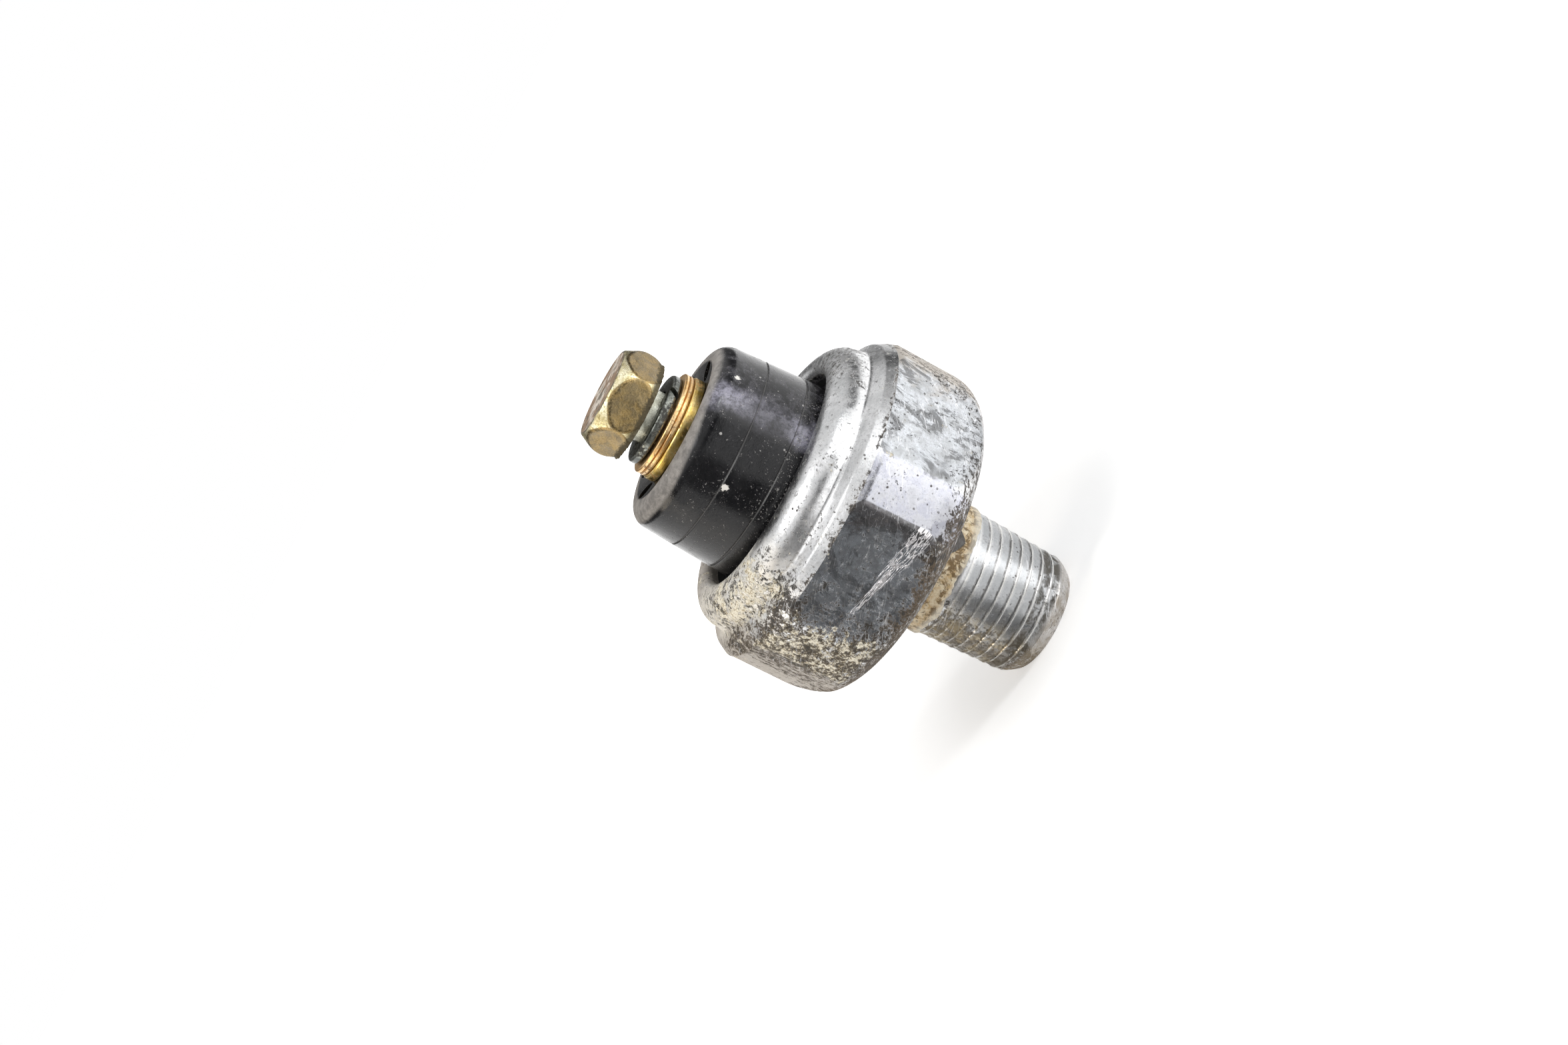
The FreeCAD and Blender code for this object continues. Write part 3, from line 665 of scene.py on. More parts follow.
def zinc_finish():
    """Worn zinc plate: grey clouds, smears, a cream crust, grime, pits and scratches, with painted
    shade, reflections and highlights.
    """
    f = Finish("zinc_plate")
    add_zinc_fields(f)
    dulled = paint_plate(f)
    paint_smears(f)
    crust_area, crust, speckle = paint_crust(f)
    grime = paint_grime(f, crust_area)
    dark_marks = paint_thread(f)
    pits = paint_pits(f)
    bundle = paint_scratches(f)
    dull = f.either(grime, crust, dark_marks, f.both(pits, 0.8), f.both(dulled, 0.6))
    rough = f.blend(f.ramp(f.cloud, 0.3, 0.7), 0.15, 0.28)
    rough = f.blend(f.ramp(f.mottle, 0.4, 0.65), rough, 0.4)
    rough = f.blend(dull, rough, 0.85)
    f.bumps(
        (f.mottle, 0.03, 0.5),
        (f.grain, 0.015, 0.5),
        (bundle, 0.05, 0.8),
        (f.plus(f.both(crust, speckle), f.both(grime, 0.4)), 0.07, 0.8),
    )
    f.set(Roughness=rough, Metallic=f.minus(1, f.both(dull, 0.85)))
    return f.material


# Other finishes
def sealant_finish():
    """Dried cream paste with a paler lower edge and ochre hollows."""
    f = Finish("dried_sealant")
    lumps = f.noise(0.5, 7, 0.7, 0.5, 20)
    dark_marks = f.noise(0.8, 7, 0.75, 0.8, 21)
    f.colour = f.mix(f.ramp(lumps, 0.38, 0.62), (0.6, 0.43, 0.22), (0.84, 0.74, 0.55))
    f.paint((0.17, 0.1, 0.035), f.ramp(dark_marks, 0.49, 0.55, 0, 0.9))
    f.paint((0.78, 0.75, 0.66), f.ramp(f.height, -2.6, -3.1, 0, 0.6))
    f.set(Roughness=f.blend(lumps, 0.5, 0.85))
    f.bumps((lumps, 0.18, 0.9))
    return f.material


def paint_scuffs_and_highlight(f, cloud, mottle):
    """Faint scuffs, stronger on the upper side as painted light, and a pale streaky band of painted
    highlight that is strongest near the face and the rim.
    """
    wavering = f.plus(f.turn, f.times(f.minus(cloud, 0.5), 30))
    # Scuffs, much stronger on the upper side: partly real scuffs, partly painted light where the key
    # lamp falls.
    upper = f.band(wavering, -85, -30, 12)
    f.paint((0.13, 0.125, 0.14), f.ramp(mottle, 0.46, 0.6), f.blend(upper, 0.04, 0.35))
    # Pale streaky band: a painted highlight, strongest near the face and the rim.
    ends = f.either(f.ramp(f.height, 15.8, 18), f.ramp(f.height, 13.8, 12.6))
    painted_highlight = f.both(f.band(wavering, -33, -27, 10), f.blend(ends, 0.35, 1))
    streaks = f.times(f.plus(mottle, f.noise(0.22, 6, 0.75, 0.3, 36)), 0.5)
    f.paint((0.62, 0.6, 0.72), painted_highlight, f.ramp(streaks, 0.4, 0.58, 0.2, 0.95))


def paint_face(f, mottle):
    """Grey face, partly dust and partly a painted reflection, which reaches further down its rounding on
    the low side as a painted reflection of the floor.
    """
    # On the low side the grey reaches further down the rounding: painted reflection of the floor.
    low_side = f.both(f.ramp(f.turn, -30, 40, 0, 0.55), f.ramp(f.turn, 165, 110))
    lifted = f.plus(f.height, low_side)
    face = f.both(f.ramp(lifted, FACE - 0.42, FACE - 0.08), f.ramp(f.radius, 5.4, 5.7))
    f.paint((0.36, 0.335, 0.31), face, f.ramp(mottle, 0.36, 0.6, 0.45, 0.9))
    return face


def paint_dust(f, cloud, mottle):
    """Pale grit, thicker near the rim, and larger specks. Returns both."""
    near_rim = f.both(f.ramp(f.height, RIM_TOP + 2.2, RIM_TOP + 0.4), f.band(f.turn, -60, 30, 15), 0.8)
    crowding = f.either(f.ramp(mottle, 0.47, 0.58, 0, 0.8), near_rim)
    grit = f.plus(f.noise(0.12, 3, 0.6, 0, 35), f.times(crowding, 0.06))
    dust = f.both(f.ramp(grit, 0.65, 0.68), crowding)
    specks = f.both(f.specks(0.75, 0.17, 34), f.ramp(cloud, 0.4, 0.52))
    f.paint((0.5, 0.48, 0.46), f.either(dust, specks), 0.75)
    return dust, specks


def chip(f, turn, height, size):
    """Ragged patch at a place on the insulator's side."""
    across = f.times(f.minus(f.turn, turn), math.pi / 180 * 7.4)
    distance = f.length(across, f.minus(f.height, height))
    ragged = f.plus(distance, f.times(f.noise(0.25, 4, 0.7, 0, 33), 0.8))
    return f.ramp(ragged, size + 0.4, size + 0.34)


def phenolic_finish():
    """Black moulding: semi-gloss with scuffs, a painted highlight, mould lines, pale specks, a face that
    is grey with dust and painted reflection, and painted shade in the trough.
    """
    f = Finish("black_moulding")
    cloud = f.noise(3, 5, 0.65, 0.4, 30)
    mottle = f.noise(0.7, 8, 0.75, 0.4, 31)
    fine = f.noise(0.14, 3, 0.7, 0, 32)
    f.colour = f.mix(f.ramp(cloud, 0.35, 0.65), (0.004, 0.004, 0.005), (0.012, 0.012, 0.013))
    paint_scuffs_and_highlight(f, cloud, mottle)
    for line in LINES:
        f.paint((0.16, 0.155, 0.15), f.band(f.height, line - 0.05, line + 0.05, 0.03), 0.5)
    face = paint_face(f, mottle)
    dust, specks = paint_dust(f, cloud, mottle)
    chips = f.either(chip(f, -45, 17.9, 0.22), chip(f, 16, 15.55, 0.26))
    f.paint((0.8, 0.77, 0.72), chips)
    # The trough round the collar is darkened to near black: painted shade in the recess.
    trough = f.both(f.ramp(f.radius, 5.55, 5.35), f.ramp(f.height, FACE - 2, FACE - 1.5))
    f.paint((0.01, 0.009, 0.008), trough, f.ramp(mottle, 0.5, 0.6, 0.9, 0.3))
    rough = f.blend(f.ramp(cloud, 0.3, 0.7), 0.1, 0.2)
    rough = f.blend(f.ramp(mottle, 0.46, 0.64), rough, 0.32)
    rough = f.blend(f.either(dust, chips, f.both(face, 0.6)), rough, 0.85)
    f.bumps((cloud, 0.1, 0.4), (fine, 0.015, 0.5), (f.either(dust, specks, chips), 0.05, 0.7))
    f.set(Roughness=rough, Specular_IOR_Level=0.32)
    return f.material


def metal_finish(name):
    """Worn metal: two tones of the base, ingrained dirt, turning marks and specks."""
    base, tint, dirt, seed, rough, dirt_share = METALS[name]
    f = Finish(name)
    cloud = f.noise(1.2, 6, 0.65, 0.4, seed)
    fine = f.noise(0.2, 5, 0.7, 0, seed + 1)
    marks = f.noise(0.1, 2, 0.5, 0, seed + 2, f.unrolled(0.03, 1))
    f.colour = f.mix(f.ramp(cloud, 0.38, 0.62), base, tint)
    f.paint(tuple(0.45 * part for part in base), f.ramp(fine, 0.45, 0.7, 0, 0.4))
    threshold = 0.6 - 0.14 * dirt_share
    dirty = f.ramp(f.times(f.plus(cloud, fine), 0.5), threshold, threshold + 0.07)
    f.paint(dirt, dirty, 0.85)
    speck = f.both(f.specks(0.3, 0.2, seed), f.ramp(cloud, 0.42, 0.58))
    f.paint(tuple(0.4 * part for part in dirt), speck, 0.7)
    roughness = f.blend(f.both(dirty, 0.9), f.blend(fine, rough, rough + 0.2), 0.8)
    f.bumps((cloud, 0.04, 0.5), (marks, 0.012, 0.5), (fine, 0.015, 0.6))
    f.set(Roughness=roughness, Metallic=f.minus(1, f.both(dirty, 0.8)))
    return f.material


def paint_crown(f, cloud):
    """Dirty pinkish top of the head inside a dark ring. Returns its area."""
    top = f.ramp(f.height, HEAD_TOP - 0.9, HEAD_TOP - 0.7)
    crown = f.both(top, f.ramp(f.radius, CROWN_RADIUS + 0.1, CROWN_RADIUS - 0.05))
    blotch = f.noise(1.6, 5, 0.6, 0.6, 53)
    tone = f.mix(f.ramp(blotch, 0.42, 0.54), (0.8, 0.72, 0.64), (0.32, 0.2, 0.13))
    f.paint(f.mix(f.ramp(cloud, 0.5, 0.62, 0, 0.9), tone, (0.05, 0.035, 0.025)), crown, 0.9)
    ring = f.band(f.radius, CROWN_RADIUS - 0.05, CROWN_RADIUS + 0.12, 0.06)
    f.paint((0.04, 0.03, 0.015), top, ring, f.ramp(cloud, 0.38, 0.5), 0.8)
    return crown


def head_finish():
    """Yellow-passivated head: bright gold rounds, olive-brown ovals and a dirty crown."""
    f = Finish("yellow_zinc")
    cloud = f.noise(1, 6, 0.65, 0.5, 50)
    fine = f.noise(0.16, 5, 0.7, 0, 51)
    gold = f.mix(f.ramp(cloud, 0.38, 0.62), (0.66, 0.57, 0.32), (0.88, 0.82, 0.6))
    f.colour = f.mix(f.ramp(fine, 0.5, 0.62, 0, 0.8), gold, (0.26, 0.2, 0.07))
    olive = f.mix(f.ramp(cloud, 0.4, 0.56), (0.25, 0.165, 0.06), (0.13, 0.085, 0.03))
    olive = f.mix(f.ramp(fine, 0.5, 0.62, 0, 0.6), olive, (0.42, 0.32, 0.17))
    ovals = f.either(*[f.flat(FRONT - HEAD_TURN - 60 * side, HEAD_FLAT_RADIUS) for side in range(6)])
    on_head = f.ramp(f.height, HEAD_BASE - 0.1, HEAD_BASE)
    f.paint(olive, ovals, on_head, 0.9)
    crown = paint_crown(f, cloud)
    low_edge = f.ramp(f.plus(f.height, f.times(fine, 0.9)), HEAD_BASE + 1, HEAD_BASE + 0.75)
    edge = f.both(low_edge, on_head)
    f.paint((0.05, 0.04, 0.02), edge, 0.85)
    # Pale grey-green shank, brighter and less metallic than the head: partly its bare steel, partly a
    # painted highlight.
    shank = f.ramp(f.height, HEAD_BASE - 0.01, HEAD_BASE - 0.04)
    f.paint(f.mix(f.ramp(cloud, 0.4, 0.6), (0.88, 0.89, 0.76), (0.5, 0.5, 0.4)), shank)
    dull = f.either(f.both(edge, 0.9), f.both(crown, f.ramp(cloud, 0.42, 0.56, 0.2, 0.9)))
    rough = f.blend(dull, f.blend(f.ramp(fine, 0.4, 0.6), 0.2, 0.42), 0.8)
    f.bumps((cloud, 0.06, 0.6), (fine, 0.03, 0.7))
    metal = f.minus(1, f.either(f.both(dull, 0.7), f.both(shank, 0.6)))
    f.set(Roughness=rough, Metallic=metal)
    return f.material


def moulded_finish(name):
    """Plain moulded or rubber part with a faint cloud, fine grain and dust."""
    base, tint, seed, rough = MOULDED[name]
    f = Finish(name)
    fine = f.noise(0.2, 4, 0.7, 0, seed + 1)
    f.colour = f.mix(f.noise(2.2, 4, 0.6, 0.3, seed), base, tint)
    f.paint((0.4, 0.38, 0.35), f.ramp(fine, 0.55, 0.8, 0, 0.25))
    f.set(Roughness=f.blend(fine, rough, rough + 0.25))
    f.bumps((fine, 0.03, 0.5))
    return f.material


# Nipple and body
def taper_radius(height):
    """Crest radius of the taper thread."""
    return GAUGE_RADIUS + (height - GAUGE_HEIGHT) * TAPER


def nose_limit(height):
    """Radius of the cone and rounding at the nose."""
    if height >= NOSE_CONE:
        return taper_radius(height)
    share = (NOSE_CONE - height) / (NOSE_CONE - NOSE)
    return taper_radius(NOSE_CONE) - NOSE_STEP * share ** NOSE_CURVE


def thread_radius(height, phase):
    """Worn thread: narrow crests between broad shallow hollows, a little deeper towards the nose."""
    share = min(max((THREAD_START - height) / (THREAD_START - THREAD_FULL), 0), 1)
    runout = min(max((THREAD_START - height) / PITCH, 0), 1)
    depth = (THREAD_SHALLOW + (THREAD_DEEP - THREAD_SHALLOW) * share) * runout
    from_crest = min(phase, 1 - phase)
    hollow = 1 - math.exp(-(from_crest / CREST_WIDTH) ** 2)
    return min(taper_radius(height) - depth * hollow, nose_limit(height))


def make_nipple():
    """Threaded nipple with its nose face, its inlet and the end that stands in the hexagon."""
    front_share = (math.degrees(from_front(0)) % 360) / 360
    crest = THREAD_CREST - PITCH * front_share
    nose_face = subdivided(rounded([
        (nose_limit(NOSE), NOSE),
        (INLET_RADIUS + INLET_CHAMFER, NOSE),
        (INLET_RADIUS, NOSE + INLET_CHAMFER),
        (INLET_RADIUS, FLOOR),
    ]), 1)
    neck = [(taper_radius(NECK_TOP), NECK_TOP), (NECK_RADIUS, NECK_TOP), (NECK_RADIUS, NECK_OVERLAP)]
    return screwed("nipple", thread_radius, NOSE, NECK_TOP, PITCH, crest, THREAD_STEPS, THREAD_COLUMNS,
                   nose_face, neck)


def ledge_radius(height=LEDGE):
    """Radius of the turned corner and of the cone above it."""
    if height <= HEX_HEIGHT:
        return HEX_RADIUS
    share = (height - HEX_HEIGHT) / (SHOULDER[1] - HEX_HEIGHT)
    return HEX_RADIUS + (SHOULDER[0] - HEX_RADIUS) * share


def hexagon_outlines():
    """Sections of the milled part, of the rim, and of the cavity and chamber."""
    milled = subdivided(rounded([
        (NECK_RADIUS, 0),
        (HEX_RADIUS, 0, UNDERSIDE_ROUND),
        (HEX_RADIUS, LEDGE - 0.004),
    ], 4), 0.22)
    milled = [(min(radius, ledge_radius(height)), height) for radius, height in milled]
    rim = rounded([
        (ledge_radius(), LEDGE),
        (*SHOULDER, 0.5),
        (RIM_RADIUS, VALLEY, 0.4),
        (RIM_RADIUS, RIM_TOP, 1.9),
        (LIP_RADIUS, RIM_TOP, 0.6),
        (LIP_RADIUS, LIP_UNDERSIDE),
    ], 7)
    cavity = rounded([
        (CAVITY_RADIUS, LIP_UNDERSIDE),
        (CAVITY_RADIUS, SHELF),
        (SEAL_OUTER, SHELF),
        (SEAL_OUTER, SEAL_FLOOR),
        (SEAL_INNER, SEAL_FLOOR),
        (SEAL_INNER, SHELF),
        (CHAMBER_RADIUS, SHELF),
        (CHAMBER_RADIUS, FLOOR),
        (INLET_RADIUS, FLOOR),
    ])
    return milled, rim, cavity


def make_hexagon():
    """Body with six milled flats, and faint waves on all that is seen from outside."""
    milled, rim, cavity = hexagon_outlines()

    def reshape(row, angle, radius, height):
        if row < len(milled):
            radius = smaller(radius, hexagon_radius(angle, FLAT_RADIUS), FLAT_BLEND)
        if row < len(milled) + len(rim) and radius > LIP_RADIUS + 0.2:
            radius += 0.035 * bump_field(angle, radius, height, 4.5, 1)
            radius += 0.012 * bump_field(angle, radius, height, 1.2, 2)
        return radius

    return turned("hexagon", milled + rim + cavity, BODY_COLUMNS, reshape=reshape, smooth_angle=28)


def sealant_span(angle):
    """Ragged low and high edge of the sealant at an azimuth."""
    turn = (math.degrees(math.radians(FRONT) - angle) + 180) % 360 - 180
    low = -3 - 1.1 * math.sin(math.radians(abs(turn)) / 2) ** 1.2
    low += 0.22 * bump_field(angle, 5, 0, 1.1, 4) + 0.12 * bump_field(angle, 5, 0, 0.35, 5)
    bare = math.exp(-((turn + SEALANT_GAP_TURN) / SEALANT_GAP_REACH) ** 2)
    high = -0.25 - 2.1 * bare + 0.2 * bump_field(angle, 5, 0, 0.8, 6)
    return low, high


def make_sealant():
    """Ragged band of sealant that wraps the neck and the thread's first plain turn."""
    columns = 200
    rows = 40
    angles = [2 * math.pi * column / columns for column in range(columns)]
    spans = [sealant_span(angle) for angle in angles]
    points = []
    for row in range(rows + 1):
        share = row / rows
        edge = min(share, 1 - share) * 2
        ridge = 0.1 * math.exp(-((share - 0.14) / 0.09) ** 2)
        for angle, (low, high) in zip(angles, spans):
            height = low + (high - low) * share
            lumps = 0.05 * bump_field(angle, 5, height, 0.8, 7)
            radius = taper_radius(height) - 0.06 + (0.12 + lumps + ridge) * min(1, edge * 5) ** 0.5
            points.append(at(radius, angle, height))
    return make_object("sealant_band", points, ring_faces(rows + 1, columns), 60)


# Insulator
def stem_radius_at(height):
    """Radius of the drafted side."""
    return STEM_RADIUS - (height - RIM_TOP) * math.tan(STEM_DRAFT)


def make_insulator():
    """Moulding with two mould lines, a dished face with pockets, and its hidden skirt."""
    corners = [
        (INSERT_RADIUS + INSERT_FIT, FOOT_TOP),
        (INSERT_FOOT_RADIUS + INSERT_FIT, FOOT_TOP),
        (INSERT_FOOT_RADIUS + INSERT_FIT, SPRING_SEAT),
        (SKIRT_BORE, SPRING_SEAT, 0.3),
        (SKIRT_BORE, RING_TOP),
        (STACK_RADIUS, RING_TOP),
        (STACK_RADIUS, INSULATOR_SHOULDER, 0.2),
        (stem_radius_at(INSULATOR_SHOULDER), INSULATOR_SHOULDER, 0.4),
    ]
    for line in LINES:
        for height, out in (
            (line - LINE_HALF_WIDTH, LINE_RIDGE),
            (line, -LINE_DEPTH),
            (line + LINE_HALF_WIDTH, LINE_RIDGE),
        ):
            corners.append((stem_radius_at(height) + out, height))
    corners += [
        (stem_radius_at(FACE), FACE, FACE_ROUND),
        (DISH_RADIUS, FACE, 0.3),
        (COLLAR_RADIUS + 0.05, COLLAR_BASE),
        (INSERT_RADIUS + INSERT_FIT, COLLAR_BASE),
    ]
    moulding = turned("moulding", subdivided(rounded(corners, 6), 0.9), 180, closed=True)
    return cut_away(moulding, [make_pocket_cutter(number) for number in range(POCKETS)])


def make_pocket_cutter(number):
    """Cylinder that cuts one of the pockets in the face."""
    low = FACE - POCKET_DEPTH
    high = FACE + 0.5
    outline = [(0, high), (POCKET_RADIUS, high), (POCKET_RADIUS, low), (0, low)]
    cutter = turned(f"pocket_cutter_{number}", outline, 28)
    angle = math.radians(POCKET_TURN + 360 * number / POCKETS)
    cutter.data.transform(Matrix.Translation(Vector(at(POCKET_CIRCLE, angle, 0)) * MM))
    return cutter


def cut_away(piece, cutters):
    """Cuts the cutters out of the piece and applies the result."""
    for cutter in cutters:
        cut = piece.modifiers.new("Cut", "BOOLEAN")
        cut.object = cutter
        cut.solver = "EXACT"
    depsgraph = bpy.context.evaluated_depsgraph_get()
    mesh = bpy.data.meshes.new_from_object(piece.evaluated_get(depsgraph))
    piece.modifiers.clear()
    piece.data = mesh
    mesh.shade_smooth()
    mesh.set_sharp_from_angle(angle=math.radians(28))
    for cutter in cutters:
        bpy.data.objects.remove(cutter)
    return piece


# Terminal, washers and screw
def make_terminal():
    """Brass insert with its foot, its collar and the tapped hole."""
    corners = [
        (0, SPRING_SEAT),
        (INSERT_FOOT_RADIUS, SPRING_SEAT, 0.15),
        (INSERT_FOOT_RADIUS, FOOT_TOP),
        (INSERT_RADIUS, FOOT_TOP),
        (INSERT_RADIUS, COLLAR_BASE),
        (COLLAR_RADIUS, COLLAR_BASE, 0.12),
        (COLLAR_RADIUS, COLLAR_TOP, 0.18),
        (TAPPING_RADIUS, COLLAR_TOP),
        (TAPPING_RADIUS, TAPPING_FOOT),
        (0, TAPPING_FOOT - 1),
    ]
    return turned("terminal_collar", subdivided(rounded(corners, 12), 1), 144)


def make_flat_washer():
    """Two thin plated washers that lie on each other, with the line between them."""
    base = COLLAR_TOP + 0.03
    middle = (base + WASHER_TOP) / 2
    corners = [
        (WASHER_BORE, base),
        (WASHER_RADIUS, base, 0.12),
        (WASHER_RADIUS, middle - 0.05, 0.06),
        (WASHER_RADIUS - 0.1, middle),
        (WASHER_RADIUS, middle + 0.05, 0.06),
        (WASHER_RADIUS, WASHER_TOP, 0.14),
        (WASHER_BORE, WASHER_TOP),
    ]

    def reshape(row, angle, radius, height):
        return radius + 0.04 * bump_field(angle, radius, height, 1.5, 9)

    return turned("copper_rings", rounded(corners, 20), 144, closed=True, reshape=reshape)


def make_spring_washer():
    """Split ring with rounded edges, whose two ends stand slightly apart in height."""
    columns = 150
    gap = 7
    stagger = 0.14
    thick = 0.7
    lean = 9
    section = rounded([
        (SPRING_WASHER_BORE, thick / 2),
        (SPRING_WASHER_BORE, 0, 0.12),
        (SPRING_WASHER_RADIUS, 0, 0.22),
        (SPRING_WASHER_RADIUS, thick, 0.22),
        (SPRING_WASHER_BORE, thick, 0.12),
        (SPRING_WASHER_BORE, thick / 2),
    ], 22)[:-1]
    count = len(section)
    points = []
    for column in range(columns + 1):
        share = column / columns
        for radius, rise in section:
            slant = (rise / thick - 0.5) * lean
            angle = math.radians(SPRING_WASHER_SPLIT + gap / 2 + slant + share * (360 - gap))
            lumps = 0.03 * bump_field(angle, radius, rise, 0.7, 10)
            points.append(at(radius + lumps, angle, WASHER_TOP + 0.01 + stagger * share + rise))
    faces = ring_faces(columns + 1, count)
    faces.append(tuple(range(count)))
    faces.append(tuple(columns * count + index for index in reversed(range(count))))
    return make_object("split_washer", points, faces, 40)


def make_screw_head():
    """Barrel-shaped head whose six flats show as ovals between its rounds."""
    corners = [
        (SCREW_RADIUS, HEAD_BASE),
        (3.55, HEAD_BASE, 0.08),
        (4.22, HEAD_BASE + 1.35, 2),
        (CROWN_RADIUS + 0.1, HEAD_TOP - 0.05, 0.25),
        (CROWN_RADIUS - 0.25, HEAD_TOP - 0.12, 0.2),
        (0, HEAD_TOP - 0.02),
    ]

    def reshape(row, angle, radius, height):
        flat = hexagon_radius(angle, HEAD_FLAT_RADIUS, math.radians(HEAD_TURN))
        lumps = 0.035 * bump_field(angle, radius, height, 1, 12) if radius > 0.3 else 0
        on_edge = height < HEAD_BASE + 0.2
        burr = 0.3 * max(bump_field(angle, radius, 0, 0.26, 13), 0) if on_edge else 0
        return smaller(radius, flat, 0.05) + lumps + burr

    return turned("screw_head", subdivided(rounded(corners, 5), 0.14), 264, reshape=reshape)


def shank_radius(height, phase):
    """Thread of the screw, plain under the head and pointed at the tip."""
    depth = SCREW_DEPTH * min(max((WASHER_TOP - height) / 0.5, 0), 1)
    tip = min(1, 0.45 + (height - SCREW_TIP) * 1.4)
    return (SCREW_RADIUS - depth * (1 - abs(2 * phase - 1)) ** 0.9) * tip


def make_screw_shank():
    """Threaded shank, from its tip to just inside the head."""
    top = HEAD_BASE + 0.02
    return screwed("screw_shank", shank_radius, SCREW_TIP, top, SCREW_PITCH, SCREW_TIP, 10, 72,
                   [(shank_radius(SCREW_TIP, 0.5), SCREW_TIP), (0, SCREW_TIP)],
                   [(SCREW_RADIUS - 0.2, top), (SCREW_RADIUS + 0.05, top)])


def make_contact_spring():
    """Round wire coil with closed end turns, between the plate and the terminal's foot."""
    low = PLATE_TOP + SPRING_WIRE
    high = SPRING_SEAT - SPRING_WIRE
    along = 240
    around = 12
    points = []
    for step in range(along + 1):
        share = step / along
        climb = min(max((share - 0.18) / 0.64, 0), 1)
        angle = 2 * math.pi * SPRING_TURNS * share
        for side in range(around):
            tilt = 2 * math.pi * side / around
            height = low + (high - low) * climb + SPRING_WIRE * math.sin(tilt)
            points.append(at(SPRING_RADIUS + SPRING_WIRE * math.cos(tilt), angle, height))
    faces = ring_faces(along + 1, around)
    faces.append(tuple(range(around)))
    faces.append(tuple(along * around + side for side in range(around)))
    return make_object("spring_coil", points, faces, 50)


# Dressing
def dress(piece, finish, slot, *nodes):
    """Gives a piece its finish and body, and hides the CAD nodes that it stands for. Its slot is not
    used.
    """
    piece.data.materials.clear()
    piece.data.materials.append(finish)
    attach(piece, "housing")
    if nodes:
        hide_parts(*nodes)
    return piece


def dress_outside():
    """Pieces of the body, insulator, terminal, washers and screw."""
    zinc = zinc_finish()
    dress(make_nipple(), zinc, "zinc_steel", "body")
    dress(make_hexagon(), zinc, "zinc_steel")
    dress(make_sealant(), sealant_finish(), "sealant", "thread_sealant")
    dress(make_insulator(), phenolic_finish(), "black_phenolic", "insulator")
    dress(make_terminal(), metal_finish("terminal_brass"), "terminal_brass", "terminal_insert")
    dress(make_flat_washer(), metal_finish("copper_plate"), "copper_washer", "flat_washer")
    dress(make_spring_washer(), metal_finish("dark_steel"), "dark_steel", "spring_washer")
    yellow = head_finish()
    dress(make_screw_head(), yellow, "yellow_zinc", "terminal_screw")
    dress(make_screw_shank(), yellow, "yellow_zinc")


def dress_inside():
    """The contact spring, which the plate squashes, and the CAD nodes that stay in view."""
    spring = dress(make_contact_spring(), metal_finish("spring_wire"), "spring_wire", "contact_spring")
    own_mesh(spring)
    for finish, names in (
        (metal_finish("contact_brass"), ("contact_ring", "contact_plate")),
        (metal_finish("contact_silver"), ("contact_rivets",)),
        (moulded_finish("black_rubber"), ("seal_ring", "rim_packing")),
        (moulded_finish("amber_film"), ("diaphragm",)),
        (moulded_finish("ivory_moulding"), ("pusher",)),
    ):
        for name in names:
            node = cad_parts[name]
            node.data.materials.clear()
            node.data.materials.append(finish)


# Studio
def make_floor():
    """White floor that shows the object's shadow and reads as white everywhere else."""
    size = FLOOR_SIZE
    points = [(-size, -size, NOSE), (size, -size, NOSE), (size, size, NOSE), (-size, size, NOSE)]
    floor = make_object("floor", points, [(0, 1, 2, 3)])
    f = Finish("white_floor")
    f.colour = (FLOOR_GREY, FLOOR_GREY, FLOOR_GREY)
    f.set(Roughness=0.9)
    path = f.add("ShaderNodeLightPath")
    seen = f.either(*[path.outputs[f"Is {ray} Ray"] for ray in ("Camera", "Glossy", "Transmission")])
    glow = f.add("ShaderNodeEmission")
    away = f.ramp(f.radius, SHADOW_REACH / 2, SHADOW_REACH, FLOOR_GLOW, 1)
    f.put(glow, Strength=f.times(seen, away))
    sum_of_both = f.add("ShaderNodeAddShader")
    f.feed(sum_of_both.inputs[0], f.surface.outputs["BSDF"])
    f.feed(sum_of_both.inputs[1], glow.outputs["Emission"])
    f.put(f.output, Surface=sum_of_both.outputs["Shader"])
    floor.data.materials.append(f.material)


def make_card(name, turns, grey, glow):
    """Card that lies on the floor and stands up at its far edge, and only shows in reflections."""
    profile = ((CARD_NEAR, CARD_BASE), (CARD_FAR, CARD_BASE), (CARD_FAR, CARD_HEIGHT))
    steps = 12
    points = []
    for step in range(steps + 1):
        angle = from_front(turns[0] + (turns[1] - turns[0]) * step / steps)
        points += [at(radius, angle, height) for radius, height in profile]
    faces = []
    for step in range(steps):
        for part in range(2):
            corner = step * 3 + part
            faces.append((corner, corner + 1, corner + 4, corner + 3))
    card = make_object(name, points, faces)
    f = Finish(name)
    f.colour = (grey, grey, grey)
    f.set(Roughness=0.9, Emission_Color=(1, 1, 1), Emission_Strength=glow)
    card.data.materials.append(f.material)
    card.visible_camera = False
    card.visible_diffuse = False
    card.visible_shadow = False


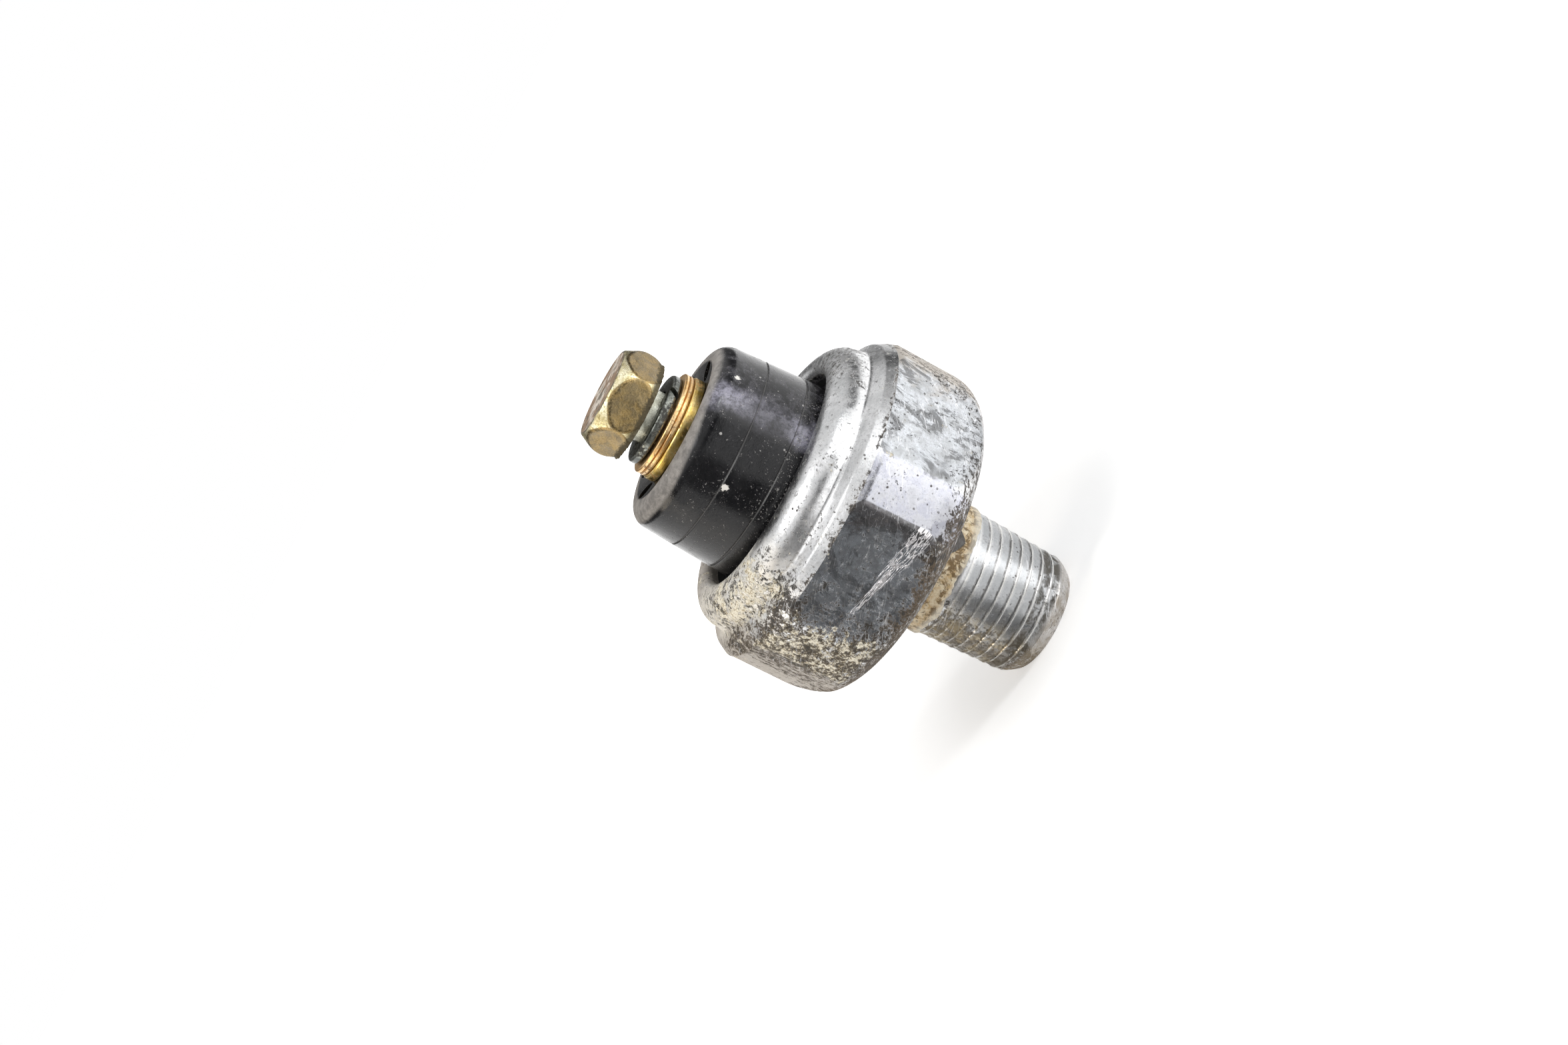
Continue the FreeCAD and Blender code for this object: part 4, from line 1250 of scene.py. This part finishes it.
def make_world():
    """White studio: even light, white to the camera, with a dim wall for the metal to reflect."""
    world = bpy.data.worlds.new("studio")
    bpy.context.scene.world = world
    world.use_nodes = True
    n = Nodes(world.node_tree)
    path = n.add("ShaderNodeLightPath")
    parts = n.add("ShaderNodeSeparateXYZ")
    n.put(parts, Vector=n.add("ShaderNodeTexCoord").outputs["Generated"])
    wall = n.ramp(parts.outputs["Z"], *WALL_TOP, WALL_LIGHT, 1)
    light = n.blend(path.outputs["Is Glossy Ray"], WORLD_LIGHT, wall)
    seen = n.either(path.outputs["Is Camera Ray"], path.outputs["Is Transmission Ray"])
    background = n.add("ShaderNodeBackground")
    n.put(background, Color=(1, 1, 1), Strength=n.blend(seen, light, 1))
    output = n.add("ShaderNodeOutputWorld")
    n.put(output, Surface=background.outputs["Background"])


def make_lamp(name, turn, elevation, distance, size, power, colour):
    """Soft rectangular lamp aimed at the object's middle."""
    data = bpy.data.lights.new(name, "AREA")
    data.shape = "RECTANGLE"
    data.size = size[0] * MM
    data.size_y = size[1] * MM
    data.energy = power
    data.color = colour
    lamp = bpy.data.objects.new(name, data)
    rise = math.radians(elevation)
    direction = Vector(at(math.cos(rise), from_front(turn), math.sin(rise)))
    lamp.location = (LAMP_AIM + direction * distance) * MM
    lamp.rotation_mode = "QUATERNION"
    lamp.rotation_quaternion = (-direction).to_track_quat("-Z", "Y")
    lamp.visible_camera = False
    bpy.context.scene.collection.objects.link(lamp)


def make_camera():
    """The photograph's camera, rolled so that the sender can stand upright."""
    data = bpy.data.cameras.new("camera")
    data.lens = LENS
    data.sensor_width = SENSOR_WIDTH
    data.sensor_fit = "HORIZONTAL"
    data.clip_start = 0.001
    data.clip_end = 20
    camera = bpy.data.objects.new("camera", data)
    place = Vector(CAMERA_PLACE)
    level = (Vector(CAMERA_AIM) - place).to_track_quat("-Z", "Y")
    camera.rotation_mode = "QUATERNION"
    camera.rotation_quaternion = level @ Quaternion((0, 0, 1), math.radians(CAMERA_ROLL))
    camera.location = place * MM
    bpy.context.scene.collection.objects.link(camera)
    bpy.context.scene.camera = camera


dress_outside()
dress_inside()
make_floor()
for card in CARDS:
    make_card(*card)
make_world()
for lamp in LAMPS:
    make_lamp(*lamp)
make_camera()
bpy.context.scene.view_settings.view_transform = "Standard"
